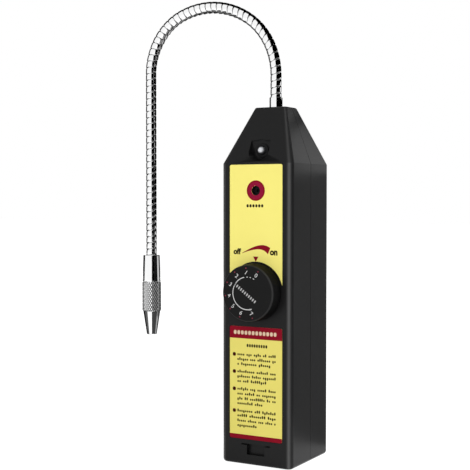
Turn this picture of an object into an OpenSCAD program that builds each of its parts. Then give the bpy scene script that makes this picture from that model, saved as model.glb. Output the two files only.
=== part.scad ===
// Hand-held refrigerant leak detector: a black two-shell housing with a tapered top, a
// sensitivity knob, a wound metal gooseneck and a turned probe tip.
// Front faces -Y, +Z is up, and the origin is the middle of the base.

/* [Housing] */
// Width across the front
body_w = 49.8; // [47:0.2:58]
// Depth from front to back
body_d = 54.4; // [51:0.2:62]
// Height of the straight sides
shoulder_h = 190.1; // [187:0.1:201]
// Height of the tapered top
taper_h = 36.2; // [34:0.2:42]
// Width of the flat top
top_w = 22.3; // [21:0.1:26]
// Depth of the flat top
top_d = 16.4; // [16:0.1:20]
// Radius of the upright corners
corner_r = 3.8; // [3.2:0.1:4.4]
// Radius of the corners at the flat top
top_corner_r = 1.8; // [1.4:0.1:2.6]
// Radius of the edge round the base
foot_r = 2.2; // [1:0.1:2.3]
// Bevel round the flat top
top_bevel = 0.5; // [0.3:0.1:1.2]
// Thickness of the shell walls
wall = 2.2; // [1.9:0.1:2.4]
// Thickness of the top plate
top_t = 3; // [2.4:0.1:3.6]
// Thickness of the rim under the shells
rim_t = 2.5; // [2:0.1:3]
// Width of the rim round the battery opening
rim_w = 5.5; // [5:0.1:6.5]
// Corner radius of the battery opening
opening_r = 2; // [1:0.1:3]
// Thickness of the lip along the seam
lip_t = 1; // [0.7:0.1:1.2]
// Reach of the lip across the seam
lip_reach = 1.4; // [1:0.1:2]
// Play round the lip
lip_gap = 0.15; // [0.1:0.01:0.25]
// Width and depth of the groove that marks the seam
seam_groove = 0.35; // [0.2:0.05:0.5]

/* [Screws] */
// Radius of a screw boss
boss_r = 3.4; // [3.2:0.1:3.6]
// Lap of a screw boss into the side wall
boss_lap = 0.5; // [0.3:0.1:1]
// Height of the lower pair of housing screws
screw_low_z = 14; // [13:0.5:16]
// Drop of the upper pair of housing screws below the shoulder
screw_drop = 12.8; // [11:0.2:16]
// Radius of a housing screw's shank
screw_r = 1.45; // [1.3:0.05:1.6]
// Length of a housing screw's shank
screw_len = 15; // [12:0.5:18]
// Radius of a housing screw's head
screw_head_r = 2.5; // [2.3:0.05:2.6]
// Height of a housing screw's head
screw_head_h = 2; // [1.6:0.1:2.4]
// Depth of the boss under a screw head
screw_grip = 6; // [4:0.5:8]
// Radius of a board screw's shank
board_screw_r = 1.1; // [0.9:0.05:1.3]
// Length of a board screw's shank
board_screw_len = 6; // [5:0.5:8]
// Radius of a board screw's head
board_screw_head_r = 2; // [1.8:0.1:2.2]
// Height of a board screw's head
board_screw_head_h = 1.4; // [1.2:0.1:1.8]
// Radius of a board standoff
standoff_r = 2.5; // [2.2:0.1:2.8]
// Radial play round a screw
screw_gap = 0.1; // [0.05:0.01:0.2]
// Length of the cross recess in a screw head
cross_len = 3.5; // [3:0.1:4]
// Width of the cross recess in a screw head
cross_w = 0.7; // [0.5:0.1:0.9]
// Depth of the cross recess in a screw head
cross_depth = 0.9; // [0.6:0.1:1.1]

/* [Batteries] */
// Diameter of a cell
cell_d = 26.2; // [25:0.1:27]
// Length of a cell with its nub
cell_len = 50; // [46:0.5:52]
// Radius of a cell's nub
nub_r = 3.8; // [3:0.1:4.5]
// Height of a cell's nub
nub_h = 1.5; // [1:0.1:2]
// Radius of the rounded ends of a cell
cell_edge_r = 1.2; // [0.6:0.1:1.6]
// Room round a cell
cell_gap = 0.5; // [0.3:0.05:0.7]
// Height of the lowest cradle rib
rib_low_z = 24; // [23:0.5:28]
// Step from one cradle rib to the next
rib_step = 28; // [24:0.5:29]
// Thickness of a cradle rib
rib_t = 1.6; // [1.2:0.1:2]
// Thickness of the shelf above the cells
shelf_t = 2; // [1.6:0.1:2.4]
// Thickness of the sheet metal contacts
contact_t = 0.5; // [0.4:0.05:0.7]
// Side of the top contact
contact_w = 13; // [11:0.5:15]
// Radius of the top contact's dimple
dimple_r = 2.5; // [2:0.1:3]
// Height of the top contact's dimple
dimple_h = 0.6; // [0.4:0.1:0.9]
// Width of the return strip
strip_w = 4; // [3:0.1:5]
// Place of the return strip left of the middle
strip_x = 13.6; // [13:0.1:14]
// Overhang of the return strip's foot past the rim
strip_reach = 1.2; // [0.8:0.1:1.6]
// Height of the return strip above the shelf
strip_rise = 12; // [8:0.5:16]
// Height of the compressed spring
spring_h = 6.5; // [5:0.1:8]
// Radius of the spring at the door
spring_r = 7.5; // [6:0.1:9]
// Radius of the spring at the cell
spring_tip_r = 4.5; // [3.5:0.1:5.5]
// Radius of the spring's wire
wire_r = 0.6; // [0.4:0.05:0.7]
// Turns in the spring
spring_turns = 3.5; // [3:0.5:4]

/* [Battery door] */
// Play round the door
door_gap = 0.3; // [0.25:0.01:0.4]
// Width of the latch tongue
tongue_w = 22; // [21.4:0.1:23]
// Height of the latch tongue
tongue_h = 15.1; // [14.5:0.1:17]
// Thickness of the latch tongue
tongue_t = 1.8; // [1.4:0.1:2.2]
// Room between the tongue and the front wall
tongue_gap = 0.7; // [0.6:0.05:0.9]
// Width of the slot above the thumb recess
slot_w = 20.4; // [19:0.1:21]
// Height of the slot above the thumb recess
slot_h = 0.9; // [0.6:0.1:1.2]
// Height of the slot's lower edge above the base
slot_z = 12.6; // [11.8:0.1:13.2]
// Width of the thumb recess
thumb_w = 12.5; // [10:0.1:15]
// Height of the thumb recess's lower edge above the base
thumb_z = 6.6; // [5.8:0.1:7.8]
// Overhang of a stop over the door
stop_reach = 1.2; // [0.8:0.1:1.6]
// Width of a stop
stop_w = 6; // [4:0.5:8]
// Height of a stop
stop_h = 3; // [2:0.5:4]
// Place of the stops in front of and behind the seam
stop_y = 9; // [8:0.5:11]

/* [Sensitivity control] */
// Height of the knob's axis
knob_z = 109.6; // [107:0.1:113]
// Radius of the knob at its back
knob_r = 18.2; // [17:0.1:18.6]
// Radius of the knob at its face
knob_face_r = 17.5; // [16:0.1:17.8]
// Height of the knob
knob_h = 10.4; // [9.5:0.1:12]
// Bevel at the edge of the knob's face
knob_bevel = 0.5; // [0.2:0.1:1]
// Gap between the knob and the housing
knob_gap = 0.6; // [0.5:0.1:1]
// Radius of the hollow under the knob
hollow_r = 14; // [12:0.1:15]
// Depth of the hollow under the knob
hollow_h = 6; // [5.5:0.1:7]
// Radius of the knob's hub
hub_r = 5; // [4.5:0.1:5.4]
// Radius of the control's body
pot_r = 8.5; // [7.5:0.1:9]
// Depth of the control's body, which is also the room in front of the board
pot_depth = 11; // [10.5:0.1:12]
// Radius of the control's threaded bushing
bushing_r = 3.9; // [3.8:0.05:4.2]
// Length of the bushing outside the housing
bushing_out = 3.2; // [2.8:0.1:3.6]
// Width across the flats of the bushing's nut
pot_nut_af = 11; // [10.5:0.1:12]
// Thickness of the bushing's nut
pot_nut_h = 2; // [1.6:0.1:2.4]
// Radius of the control's shaft
shaft_r = 3; // [2.8:0.05:3.2]
// Depth of the flat on the shaft
shaft_flat = 1; // [0.6:0.1:1.2]
// Length of the shaft inside the control's body
shaft_in = 5; // [4:0.1:6]
// Cover of the knob's face over the end of the shaft
knob_face_t = 2; // [1.4:0.1:2.4]
// Radial play of the shaft in its bushing
shaft_gap = 0.05; // [0.03:0.01:0.09]
// Radial play round the bushing and the nuts
thread_gap = 0.1; // [0.05:0.01:0.15]

/* [Circuit board] */
// Width of the board
board_w = 30; // [28:0.5:31]
// Thickness of the board
board_t = 1.6; // [1.2:0.1:2]
// Length of the board below the knob's axis
board_below = 22; // [21:0.5:24]
// Drop of the board's top below the shoulder
board_drop = 8.2; // [7:0.2:10]
// Room round the board
board_gap = 1; // [0.8:0.1:1.5]
// Inset of the board screws from the board's edges
board_screw_inset = 3.4; // [3.2:0.1:3.6]
// Drop of the upper board screws below the board's top
board_screw_drop = 17.4; // [16.5:0.1:19]
// Length of the transformer
coil_len = 16; // [13:0.5:18]
// Width of the transformer
coil_w = 14; // [12:0.5:14.5]
// Depth of the transformer
coil_depth = 9; // [7:0.5:9.5]
// Thickness of each limb of the transformer's core
core_t = 3.5; // [2.5:0.1:4]
// Length of the transformer's winding
winding_len = 12.8; // [9:0.2:12.8]
// Depth of the transformer's winding
winding_depth = 4.5; // [3:0.5:5]
// Height of the transformer above the knob's axis
coil_z = 20; // [19:0.5:21]
// Place of the transformer right of the middle
coil_x = 7.2; // [7:0.1:7.5]
// Length of the chip
chip_len = 19; // [15:0.5:19]
// Width of the chip
chip_w = 6.4; // [6:0.1:7]
// Thickness of the chip
chip_t = 3.4; // [3:0.1:4]
// Pitch of the chip's pins
pin_pitch = 2.54; // [2:0.01:3]
// Thickness of a pin, which is also the gap under the chip
pin_t = 0.5; // [0.4:0.05:0.7]
// Height of the chip's middle above the knob's axis
chip_z = 20; // [19.5:0.5:21]
// Place of the chip left of the middle
chip_x = 7.5; // [6:0.5:9]
// Radius of a capacitor
capacitor_r = 3.2; // [2.6:0.1:3.6]
// Drop of the capacitors below the knob's axis
capacitor_drop = 13.6; // [13:0.1:14]
// Height of a capacitor
capacitor_h = 8; // [6:0.5:9]
// Step from one capacitor to the next
capacitor_step = 7.6; // [7.2:0.1:8]

/* [Sounder and lamp] */
// Drop of the sounder below the shoulder
buzzer_drop = 17.1; // [16:0.1:18]
// Radius of the sounder
buzzer_r = 6; // [5:0.1:6.5]
// Room between the sounder and the front wall
buzzer_gap = 1.2; // [1:0.1:2]
// Radius of the sounder's own port
port_r = 1.2; // [0.8:0.1:1.6]
// Depth of the sounder's own port
port_depth = 1.5; // [1:0.1:2]
// Radius of the sound hole in the housing
sound_r = 3; // [2.5:0.1:3.5]
// Height of the lamp above the shoulder
lamp_rise = 8.2; // [7.6:0.1:9]
// Radius of the lamp's lens
lamp_r = 2.5; // [2.3:0.05:2.7]
// Length of the lens below its dome
lamp_len = 4.6; // [4:0.1:5.5]
// Width of the flange round the lamp's back
lamp_flange = 0.4; // [0.3:0.05:0.6]
// Wall of the ring that holds the lamp
ring_t = 0.8; // [0.6:0.05:0.9]
// Width of the ring's front flange
ring_flange = 0.9; // [0.6:0.1:1.2]
// Thickness of the ring's front flange and the lamp's back flange
ring_flange_t = 0.9; // [0.6:0.1:1.2]
// Play round the lamp and its ring
lamp_gap = 0.08; // [0.05:0.01:0.12]
// Radius of the lamp's pocket
pocket_r = 7.1; // [6.4:0.1:7.3]
// Height of the pocket's flat top above the lamp
pocket_rise = 6.3; // [5.5:0.1:7]
// Step at the pocket's top edge
pocket_step = 1.7; // [1:0.1:2.2]
// Wall behind and round the pocket
pocket_wall = 2; // [1.6:0.1:2.4]

/* [Labels] */
// Width of both labels
label_w = 37.2; // [35:0.2:38]
// Thickness of a label
label_t = 0.25; // [0.15:0.05:0.3]
// Depth of the recess that a label lies in
recess_t = 0.35; // [0.3:0.05:0.5]
// Play round a label in its recess
label_gap = 0.25; // [0.15:0.05:0.35]
// Corner radius of a label
label_r = 1.2; // [0.6:0.1:2]
// Gap between the upper label and the shoulder
label_drop = 0.8; // [0.6:0.1:2]
// Gap between the upper label and the knob
label_clear = 0.9; // [0.8:0.1:1.4]
// Height of the lower label's lower edge
lower_label_z = 16.3; // [15.8:0.1:18]
// Height of the lower label
lower_label_h = 71.3; // [66:0.1:72]

/* [Gooseneck] */
// Radius over the bands
neck_r = 3.65; // [3.4:0.05:3.8]
// Depth of the grooves between the bands
groove_depth = 0.35; // [0.2:0.05:0.5]
// Width of the grooves between the bands
groove_w = 0.6; // [0.4:0.05:0.9]
// Pitch of the bands
band_pitch = 4.3; // [3.4:0.1:4.8]
// Radius of the bore
neck_bore_r = 2.4; // [2.2:0.05:2.6]
// Straight rise from the flat top to the arch
neck_rise = 21; // [18:0.5:26]
// Radius where the arch leaves the housing
arch_r1 = 46; // [42:0.5:50]
// Sweep of that first bend
arch_a1 = 54; // [48:1:58]
// Radius over the crown of the arch
arch_r2 = 55; // [50:0.5:60]
// Sweep of the crown
arch_a2 = 57; // [50:1:62]
// Radius where the arch turns down
arch_r3 = 40.1; // [36:0.1:44]
// Straight drop from the arch to the probe tip
neck_drop = 124.8; // [110:0.2:135]
// Radius of the collar at the housing
collar_r = 4.3; // [4.2:0.05:4.6]
// Height of the collar above the housing
collar_h = 6.6; // [5.5:0.1:8]
// Floor of the collar under the neck
collar_floor = 1; // [0.8:0.1:1.4]
// Radius of the collar's threaded shank
shank_r = 3.2; // [3:0.05:3.4]
// Length of the shank below the nut
shank_spare = 1.5; // [1:0.1:2.5]
// Radius of the hole through the collar
collar_bore_r = 1.9; // [1.7:0.05:2.1]
// Width across the flats of the collar's nut
neck_nut_af = 11; // [10:0.1:11.4]
// Thickness of the collar's nut
neck_nut_h = 3; // [2.4:0.1:3.6]
// Play of the neck in its sockets
socket_gap = 0.05; // [0.03:0.01:0.08]
// Radius of the sensor lead
lead_r = 1.3; // [1.2:0.05:1.5]
// Bend radius of the lead inside the housing
lead_bend = 6; // [5:0.5:8]
// Depth of the lead's joint below the board's top edge
lead_drop = 3; // [2:0.5:4]

/* [Probe tip] */
// Depth of the neck's socket in the sleeve
socket_depth = 8; // [6:0.5:9]
// Radius of the sleeve at the neck
sleeve_top_r = 5.75; // [5.4:0.05:6]
// Radius of the sleeve at the cover
sleeve_low_r = 6.35; // [6.2:0.05:6.4]
// Length of the sleeve
sleeve_len = 18.1; // [16:0.1:22]
// Radius of the threaded spigot
spigot_r = 4.4; // [4.2:0.05:4.6]
// Length of the spigot
spigot_len = 9; // [7:0.1:11]
// Radius of the insulator
insulator_r = 3; // [2.8:0.05:3.2]
// Depth of the insulator in the sleeve above the spigot
insulator_in = 3; // [2:0.5:4]
// Length of the insulator below the spigot
insulator_out = 3; // [2:0.5:4]
// Radius of the electrode
electrode_r = 0.8; // [0.6:0.05:1]
// Length of the electrode
electrode_len = 6; // [4:0.5:8]
// Length of the electrode's point
point_len = 1.6; // [1:0.1:2.5]
// Radius at the end of the electrode's point
point_r = 0.2; // [0.1:0.05:0.4]
// Radius over the knurl
knurl_r = 6.5; // [6.3:0.05:6.7]
// Length of the knurled grip
knurl_len = 20.4; // [18:0.1:24]
// Bevel at each end of the grip
knurl_bevel = 0.6; // [0.3:0.1:0.8]
// Length of the cone
cone_len = 16.1; // [13:0.1:20]
// Radius of the cone's end
cone_end_r = 3.4; // [3.2:0.05:3.8]
// Radius of the mouth
mouth_r = 2.4; // [2.2:0.05:2.6]
// Length of the straight throat above the mouth
throat_len = 8; // [6:0.1:9]
// Radius of the chamber above the mouth
chamber_r = 3.7; // [3.5:0.05:4]
// Gap between the cover and the sleeve
cover_gap = 0.2; // [0.15:0.05:0.3]
// Radial play of the cover on the spigot
cover_play = 0.08; // [0.05:0.01:0.1]

/* [Hidden] */

$fn = 64;
hull_fn = 40;
sliver = 0.01;
least_r = 0.3;
past = 1;
bar_lap = 0.5;
bar_step = 0.05;

black = "#262626";
chrome = "#d9dadc";
brass = "#c9b072";
steel = "#a9abae";
yellow = "#f5e880";

body_h = shoulder_h + taper_h;
ceiling_z = body_h - top_t;
front_y = -body_d / 2;
back_y = body_d / 2;
inner_front_y = front_y + wall;
inner_back_y = back_y - wall;
opening_w = body_w - 2 * rim_w;
opening_d = body_d - 2 * rim_w;
boss_x = body_w / 2 - wall - boss_r + boss_lap;
screw_high_z = shoulder_h - screw_drop;

door_t = rim_t - door_gap;
tongue_y = inner_front_y + tongue_gap;

cell_r = cell_d / 2;
cell_y = opening_d / 2 - cell_gap - cell_r;
plate_top_z = door_t + contact_t;
cell_low_z = plate_top_z + spring_h + door_gap;
cell_mid_z = cell_low_z + cell_len;
cell_top_z = cell_mid_z + cell_len;
shelf_z = cell_top_z + dimple_h + contact_t;

board_y = inner_front_y + pot_depth;
board_back_y = board_y + board_t;
board_low_z = knob_z - board_below;
board_high_z = shoulder_h - board_drop;
board_screw_x = board_w / 2 - board_screw_inset;
board_screw_zs = [board_low_z + board_screw_inset, board_high_z - board_screw_drop];

buzzer_z = shoulder_h - buzzer_drop;
lamp_z = shoulder_h + lamp_rise;
pocket_top_z = lamp_z + pocket_rise;
pocket_floor_y = -span_at(body_d, top_d, pocket_top_z) / 2 + pocket_step;
ring_bore_r = lamp_r + lamp_gap;
ring_r = ring_bore_r + ring_t;

label_cut_r = knob_r + label_clear;
upper_label_z = knob_z + sqrt(max(pow(label_cut_r, 2) - pow(label_w / 2, 2), 0));
upper_label_h = shoulder_h - label_drop - upper_label_z;

knob_back_y = front_y - knob_gap;
knob_face_y = knob_back_y - knob_h;
bushing_y = front_y - bushing_out;
shaft_end_y = knob_face_y + knob_face_t;

arch_z = body_h + neck_rise;
arch_c1 = [-arch_r1, arch_z];
arch_c2 = arch_c1 + (arch_r1 - arch_r2) * [cos(arch_a1), sin(arch_a1)];
arch_end2 = arch_a1 + arch_a2;
arch_c3 = arch_c2 + (arch_r2 - arch_r3) * [cos(arch_end2), sin(arch_end2)];
tip_x = arch_c3[0] - arch_r3;
drop_z = arch_c3[1];
sleeve_top_z = drop_z - neck_drop;
sleeve_low_z = sleeve_top_z - sleeve_len;
spigot_z = sleeve_low_z - spigot_len;
insulator_top_z = sleeve_low_z + insulator_in;
insulator_low_z = spigot_z - insulator_out;
neck_low_z = body_h + collar_floor;
neck_end_z = sleeve_top_z - socket_depth;
grip_top_z = sleeve_low_z - cover_gap;
grip_low_z = grip_top_z - knurl_len;
mouth_z = grip_low_z - cone_len;

// Outer span of the housing at a height on its taper
function span_at(base, top, z) = base + (top - base) * (z - shoulder_h) / taper_h;

// Ratio of a tapered wall's level thickness to its true thickness
function slant(base, top) = sqrt(1 + pow((base - top) / 2 / taper_h, 2));

// Rod along Y from y0 to y1
module y_rod(x, z, y0, y1, r) {
    translate([x, y0, z]) rotate([-90, 0, 0]) cylinder(h = y1 - y0, r = r);
}

// Flat shape drawn in X and Z, from y0 to y1
module y_plate(y0, y1) {
    translate([0, y1, 0]) rotate([90, 0, 0]) linear_extrude(y1 - y0) children();
}

// Block between two corners
module block(low, high) {
    translate(low) cube(high - low);
}

// Both mirror images of a piece across the middle plane
module both_sides() {
    children();
    mirror([1, 0, 0]) children();
}

// Rectangle with round corners
module rounded_rect(w, d, r) {
    square([w - 2 * r, d], center = true);
    square([w, d - 2 * r], center = true);
    for (sx = [-1, 1], sy = [-1, 1])
        translate([sx * (w / 2 - r), sy * (d / 2 - r)]) circle(r);
}

// Section of the housing, drawn in by inset on every side
module housing_section(w, d, inset) {
    rounded_rect(w - 2 * inset, d - 2 * inset, max(corner_r - inset, least_r));
}

// Tapered part of the housing, drawn in by inset, up to the height top
module taper(inset, top) {
    hull() {
        translate([0, 0, shoulder_h - sliver])
            linear_extrude(sliver) housing_section(body_w, body_d, inset, $fn = hull_fn);
        translate([0, 0, top - sliver]) linear_extrude(sliver)
            rounded_rect(span_at(body_w, top_w, top) - 2 * inset * slant(body_w, top_w),
                span_at(body_d, top_d, top) - 2 * inset * slant(body_d, top_d),
                max(span_at(corner_r, top_corner_r, top) - inset, least_r), $fn = hull_fn);
    }
}

// Straight and tapered inside of the housing, drawn in by inset
module housing_inside(inset, low) {
    translate([0, 0, low]) linear_extrude(shoulder_h - low) housing_section(body_w, body_d, inset);
    taper(inset, ceiling_z);
}

// Rounded edge round the base
module foot_edge() {
    x = body_w / 2;
    y = body_d / 2;
    for (s = [-1, 1]) {
        translate([-x + corner_r, s * (y - foot_r), foot_r])
            rotate([0, 90, 0]) cylinder(h = body_w - 2 * corner_r, r = foot_r);
        y_rod(s * (x - foot_r), foot_r, -y + corner_r, y - corner_r, foot_r);
    }
    for (sx = [-1, 1], sy = [-1, 1])
        translate([sx * (x - corner_r), sy * (y - corner_r), 0]) rotate_extrude() intersection() {
            translate([corner_r - foot_r, foot_r]) circle(foot_r);
            square([corner_r, foot_r + sliver]);
        }
    linear_extrude(foot_r + sliver) housing_section(body_w, body_d, foot_r);
}

module housing_outside() {
    foot_edge();
    translate([0, 0, foot_r])
        linear_extrude(shoulder_h - foot_r) housing_section(body_w, body_d, 0);
    hull() {
        taper(0, body_h - top_bevel);
        translate([0, 0, body_h - sliver]) linear_extrude(sliver)
            rounded_rect(top_w - 2 * top_bevel, top_d - 2 * top_bevel, top_corner_r - top_bevel,
                $fn = hull_fn);
    }
}

// Outline of the battery opening and the tongue's notch, drawn in by gap
module base_opening(gap) {
    notch_w = tongue_w + 2 * door_gap - 2 * gap;
    rounded_rect(opening_w - 2 * gap, opening_d - 2 * gap, opening_r);
    translate([-notch_w / 2, tongue_y - door_gap + gap]) square([notch_w, opening_d / 2]);
}

// Half of the housing towards side, with children as the features that stand inside it
module half_shell(side) {
    difference() {
        intersection() {
            housing_outside();
            translate([-body_w, side > 0 ? 0 : -body_d, -past])
                cube([2 * body_w, body_d, body_h + 2 * past]);
        }
        difference() {
            housing_inside(wall, rim_t);
            children();
        }
        translate([0, 0, -past]) linear_extrude(rim_t + 2 * past) base_opening(0);
        translate([0, 0, ceiling_z - past]) cylinder(h = top_t + 2 * past, r = shank_r + thread_gap);
    }
}

// Ribs that cradle the cells, from y0 to y1
module cradle_ribs(y0, y1) {
    difference() {
        for (i = [0:2]) translate([0, 0, rib_low_z + i * rib_step])
            block([-body_w / 2, y0, 0], [body_w / 2, y1, rib_t]);
        translate([0, cell_y, 0]) cylinder(h = body_h, r = cell_r + cell_gap);
    }
}

// Stops above the door, towards side
module door_stops(side) {
    both_sides() translate([opening_w / 2 - stop_reach, side * stop_y - stop_w / 2, rim_t - sliver])
        cube([stop_reach + rim_w, stop_w, stop_h]);
}

// Places of the housing screws
module at_screws() {
    for (z = [screw_low_z, screw_high_z]) both_sides() translate([boss_x, 0, z]) children();
}

// Places of the board screws
module at_board_screws() {
    for (z = board_screw_zs) both_sides() translate([board_screw_x, 0, z]) children();
}

// Outline of the lamp's pocket
module pocket_outline(r) {
    translate([0, lamp_z]) circle(r);
    translate([-r, lamp_z]) square([2 * r, pocket_rise + r - pocket_r]);
}

// Outlines of the labels, grown by gap
module upper_label_outline(gap) {
    difference() {
        translate([0, upper_label_z + upper_label_h / 2])
            rounded_rect(label_w + 2 * gap, upper_label_h + 2 * gap, label_r);
        translate([0, knob_z]) circle(label_cut_r - gap);
    }
}

module lower_label_outline(gap) {
    translate([0, lower_label_z + lower_label_h / 2])
        rounded_rect(label_w + 2 * gap, lower_label_h + 2 * gap, label_r);
}

module front_shell() color(black) difference() {
    union() {
        half_shell(-1) {
            difference() {
                cradle_ribs(front_y, 0);
                block([-board_w / 2 - board_gap, front_y, board_low_z - board_gap],
                    [board_w / 2 + board_gap, board_back_y + board_screw_head_h + board_gap, body_h]);
            }
            door_stops(-1);
            at_screws() y_rod(0, 0, front_y, 0, boss_r);
            at_board_screws() y_rod(0, 0, front_y, board_y, standoff_r);
            y_plate(front_y, pocket_floor_y + pocket_wall) pocket_outline(pocket_r + pocket_wall);
        }
        difference() {
            intersection() {
                housing_inside(wall - lip_t, rim_t + lip_t);
                block([-body_w, -past, 0], [body_w, lip_reach, body_h]);
            }
            housing_inside(wall, 0);
        }
    }
    at_screws() y_rod(0, 0, screw_grip - screw_len - past, past, screw_r + screw_gap);
    at_board_screws()
        y_rod(0, 0, board_y - board_screw_len - past, board_y + past, board_screw_r + screw_gap);
    y_rod(0, knob_z, front_y - past, inner_front_y + past, bushing_r + thread_gap);
    y_rod(0, buzzer_z, front_y - past, inner_front_y + past, sound_r);
    y_plate(front_y - past, pocket_floor_y) pocket_outline(pocket_r);
    y_rod(0, lamp_z, pocket_floor_y - past, pocket_floor_y + pocket_wall + past, ring_r + lamp_gap);
    y_plate(front_y - past, front_y + recess_t) {
        upper_label_outline(label_gap);
        lower_label_outline(label_gap);
    }
    y_plate(front_y - past, inner_front_y + sliver) {
        translate([-slot_w / 2, slot_z]) square([slot_w, slot_h]);
        translate([-thumb_w / 2, thumb_z]) square([thumb_w, slot_z - thumb_z + sliver]);
    }
}

module rear_shell() color(black) difference() {
    half_shell(1) {
        difference() {
            union() {
                cradle_ribs(0, back_y);
                block([-body_w / 2, 0, shelf_z], [body_w / 2, back_y, shelf_z + shelf_t]);
            }
            block([-strip_x - strip_w / 2 - door_gap, inner_back_y - contact_t - door_gap, rim_t],
                [-strip_x + strip_w / 2 + door_gap, back_y, body_h]);
        }
        door_stops(1);
        at_screws() y_rod(0, 0, 0, back_y, boss_r);
    }
    at_screws() y_rod(0, 0, -past, back_y, screw_r + screw_gap);
    at_screws() y_rod(0, 0, screw_grip, back_y + past, screw_head_r + screw_gap);
    difference() {
        intersection() {
            housing_inside(wall - lip_t - lip_gap, rim_t + lip_t - lip_gap);
            block([-body_w, -past, 0], [body_w, lip_reach + lip_gap, body_h]);
        }
        housing_inside(wall + lip_gap, 0);
    }
    difference() {
        block([-body_w, -past, -past], [body_w, seam_groove, body_h + past]);
        housing_inside(seam_groove, seam_groove);
        block([-top_w / 2 + seam_groove, -past, ceiling_z - past],
            [top_w / 2 - seam_groove, body_d, body_h + 2 * past]);
    }
}

module housing_screws() color(steel) at_screws() difference() {
    union() {
        y_rod(0, 0, screw_grip - screw_len, screw_grip, screw_r);
        y_rod(0, 0, screw_grip, screw_grip + screw_head_h, screw_head_r);
    }
    for (a = [0, 90]) rotate([0, a, 0])
        block([-cross_w / 2, screw_grip + screw_head_h - cross_depth, -cross_len / 2],
            [cross_w / 2, screw_grip + screw_head_h + past, cross_len / 2]);
}

module battery_door() color(black) {
    linear_extrude(door_t) base_opening(door_gap);
    block([-tongue_w / 2, tongue_y, 0], [tongue_w / 2, tongue_y + tongue_t, tongue_h]);
}

module door_plate() color(brass)
    block([-strip_x - strip_w / 2, cell_y - spring_r - wire_r, door_t],
        [spring_r + wire_r, opening_d / 2 - 2 * door_gap, plate_top_z]);

// Points of one ring of the spring's wire, at turn t from 0 to 1
function spring_ring(t) = let (
        a = 360 * spring_turns * t,
        r = spring_r + (spring_tip_r - spring_r) * t,
        z = plate_top_z + wire_r + (spring_h - 2 * wire_r) * t
    ) [for (i = [0:7]) let (w = 45 * i, d = r + wire_r * cos(w))
        [d * cos(a), cell_y + d * sin(a), z + wire_r * sin(w)]];

module door_spring() color(steel) {
    rings = 14 * spring_turns;
    points = [for (k = [0:rings]) each spring_ring(k / rings)];
    sides = [for (k = [0:rings - 1], i = [0:7]) let (j = (i + 1) % 8)
        [8 * k + i, 8 * k + j, 8 * k + 8 + j, 8 * k + 8 + i]];
    ends = [[for (i = [7:-1:0]) i], [for (i = [0:7]) 8 * rings + i]];
    polyhedron(points, concat(sides, ends));
}

// Dry cell standing at height z
module cell(z) {
    can_h = cell_len - nub_h;
    translate([0, cell_y, z]) rotate_extrude() {
        square([cell_r - cell_edge_r, can_h]);
        translate([0, cell_edge_r]) square([cell_r, can_h - 2 * cell_edge_r]);
        for (h = [cell_edge_r, can_h - cell_edge_r])
            translate([cell_r - cell_edge_r, h]) circle(cell_edge_r);
        square([nub_r, cell_len]);
    }
}

module lower_cell() color("#8a6f3c") cell(cell_low_z);

module upper_cell() color("#8a6f3c") cell(cell_mid_z);

module top_contact() color(brass) {
    translate([0, cell_y, cell_top_z]) cylinder(h = dimple_h + sliver, r = dimple_r);
    translate([-contact_w / 2, cell_y - contact_w / 2, cell_top_z + dimple_h])
        cube([contact_w, contact_w, contact_t]);
}

module return_strip() color(brass) {
    x = -strip_x - strip_w / 2;
    low = plate_top_z + door_gap;
    block([x, inner_back_y - contact_t, low], [x + strip_w, inner_back_y, shelf_z + shelf_t + strip_rise]);
    block([x, opening_d / 2 - strip_reach, low], [x + strip_w, inner_back_y, low + contact_t]);
}

module circuit_board() color("#2f6b3a") difference() {
    block([-board_w / 2, board_y, board_low_z], [board_w / 2, board_back_y, board_high_z]);
    at_board_screws() y_rod(0, 0, board_y - past, board_back_y + past, board_screw_r + screw_gap);
}

module board_screws() color(steel) at_board_screws() {
    y_rod(0, 0, board_y - board_screw_len, board_back_y, board_screw_r);
    y_rod(0, 0, board_back_y, board_back_y + board_screw_head_h, board_screw_head_r);
}

module potentiometer() color(steel) difference() {
    union() {
        y_rod(0, knob_z, inner_front_y, board_y, pot_r);
        y_rod(0, knob_z, bushing_y, inner_front_y, bushing_r);
    }
    y_rod(0, knob_z, bushing_y - past, inner_front_y + shaft_in + shaft_gap, shaft_r + shaft_gap);
}

// Round shaft with a flat along its outer end, grown by gap
module flatted_shaft(y0, y1, gap) {
    difference() {
        y_rod(0, knob_z, y0, y1, shaft_r + gap);
        block([-shaft_r - past, y0 - past, knob_z + shaft_r - shaft_flat + gap],
            [shaft_r + past, bushing_y - knob_gap, knob_z + shaft_r + past]);
    }
}

module pot_shaft() color(steel) flatted_shaft(shaft_end_y, inner_front_y + shaft_in, 0);

module pot_nut() color(steel) difference() {
    y_rod(0, knob_z, front_y - pot_nut_h, front_y, pot_nut_af / 2 / cos(30), $fn = 6);
    y_rod(0, knob_z, bushing_y - past, front_y + past, bushing_r + thread_gap);
}

module sensitivity_knob() color("#1d1d1f") difference() {
    translate([0, knob_back_y, knob_z]) rotate([90, 0, 0]) difference() {
        union() {
            cylinder(h = knob_h - knob_bevel, r1 = knob_r, r2 = knob_face_r);
            translate([0, 0, knob_h - knob_bevel])
                cylinder(h = knob_bevel, r1 = knob_face_r, r2 = knob_face_r - knob_bevel);
        }
        translate([0, 0, -past]) difference() {
            cylinder(h = hollow_h + past, r = hollow_r);
            translate([0, 0, past + bushing_out]) cylinder(h = hollow_h + past, r = hub_r);
        }
    }
    flatted_shaft(shaft_end_y, knob_back_y + past, shaft_gap);
}

module transformer() color("#5a4632") {
    z = knob_z + coil_z;
    translate([coil_x, 0, 0]) both_sides()
        block([coil_w / 2 - core_t, board_y - coil_depth, z - coil_len / 2],
            [coil_w / 2, board_y, z + coil_len / 2]);
    translate([coil_x - coil_w / 2, board_y - (coil_depth + winding_depth) / 2, z - winding_len / 2])
        cube([coil_w, winding_depth, winding_len]);
}

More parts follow.
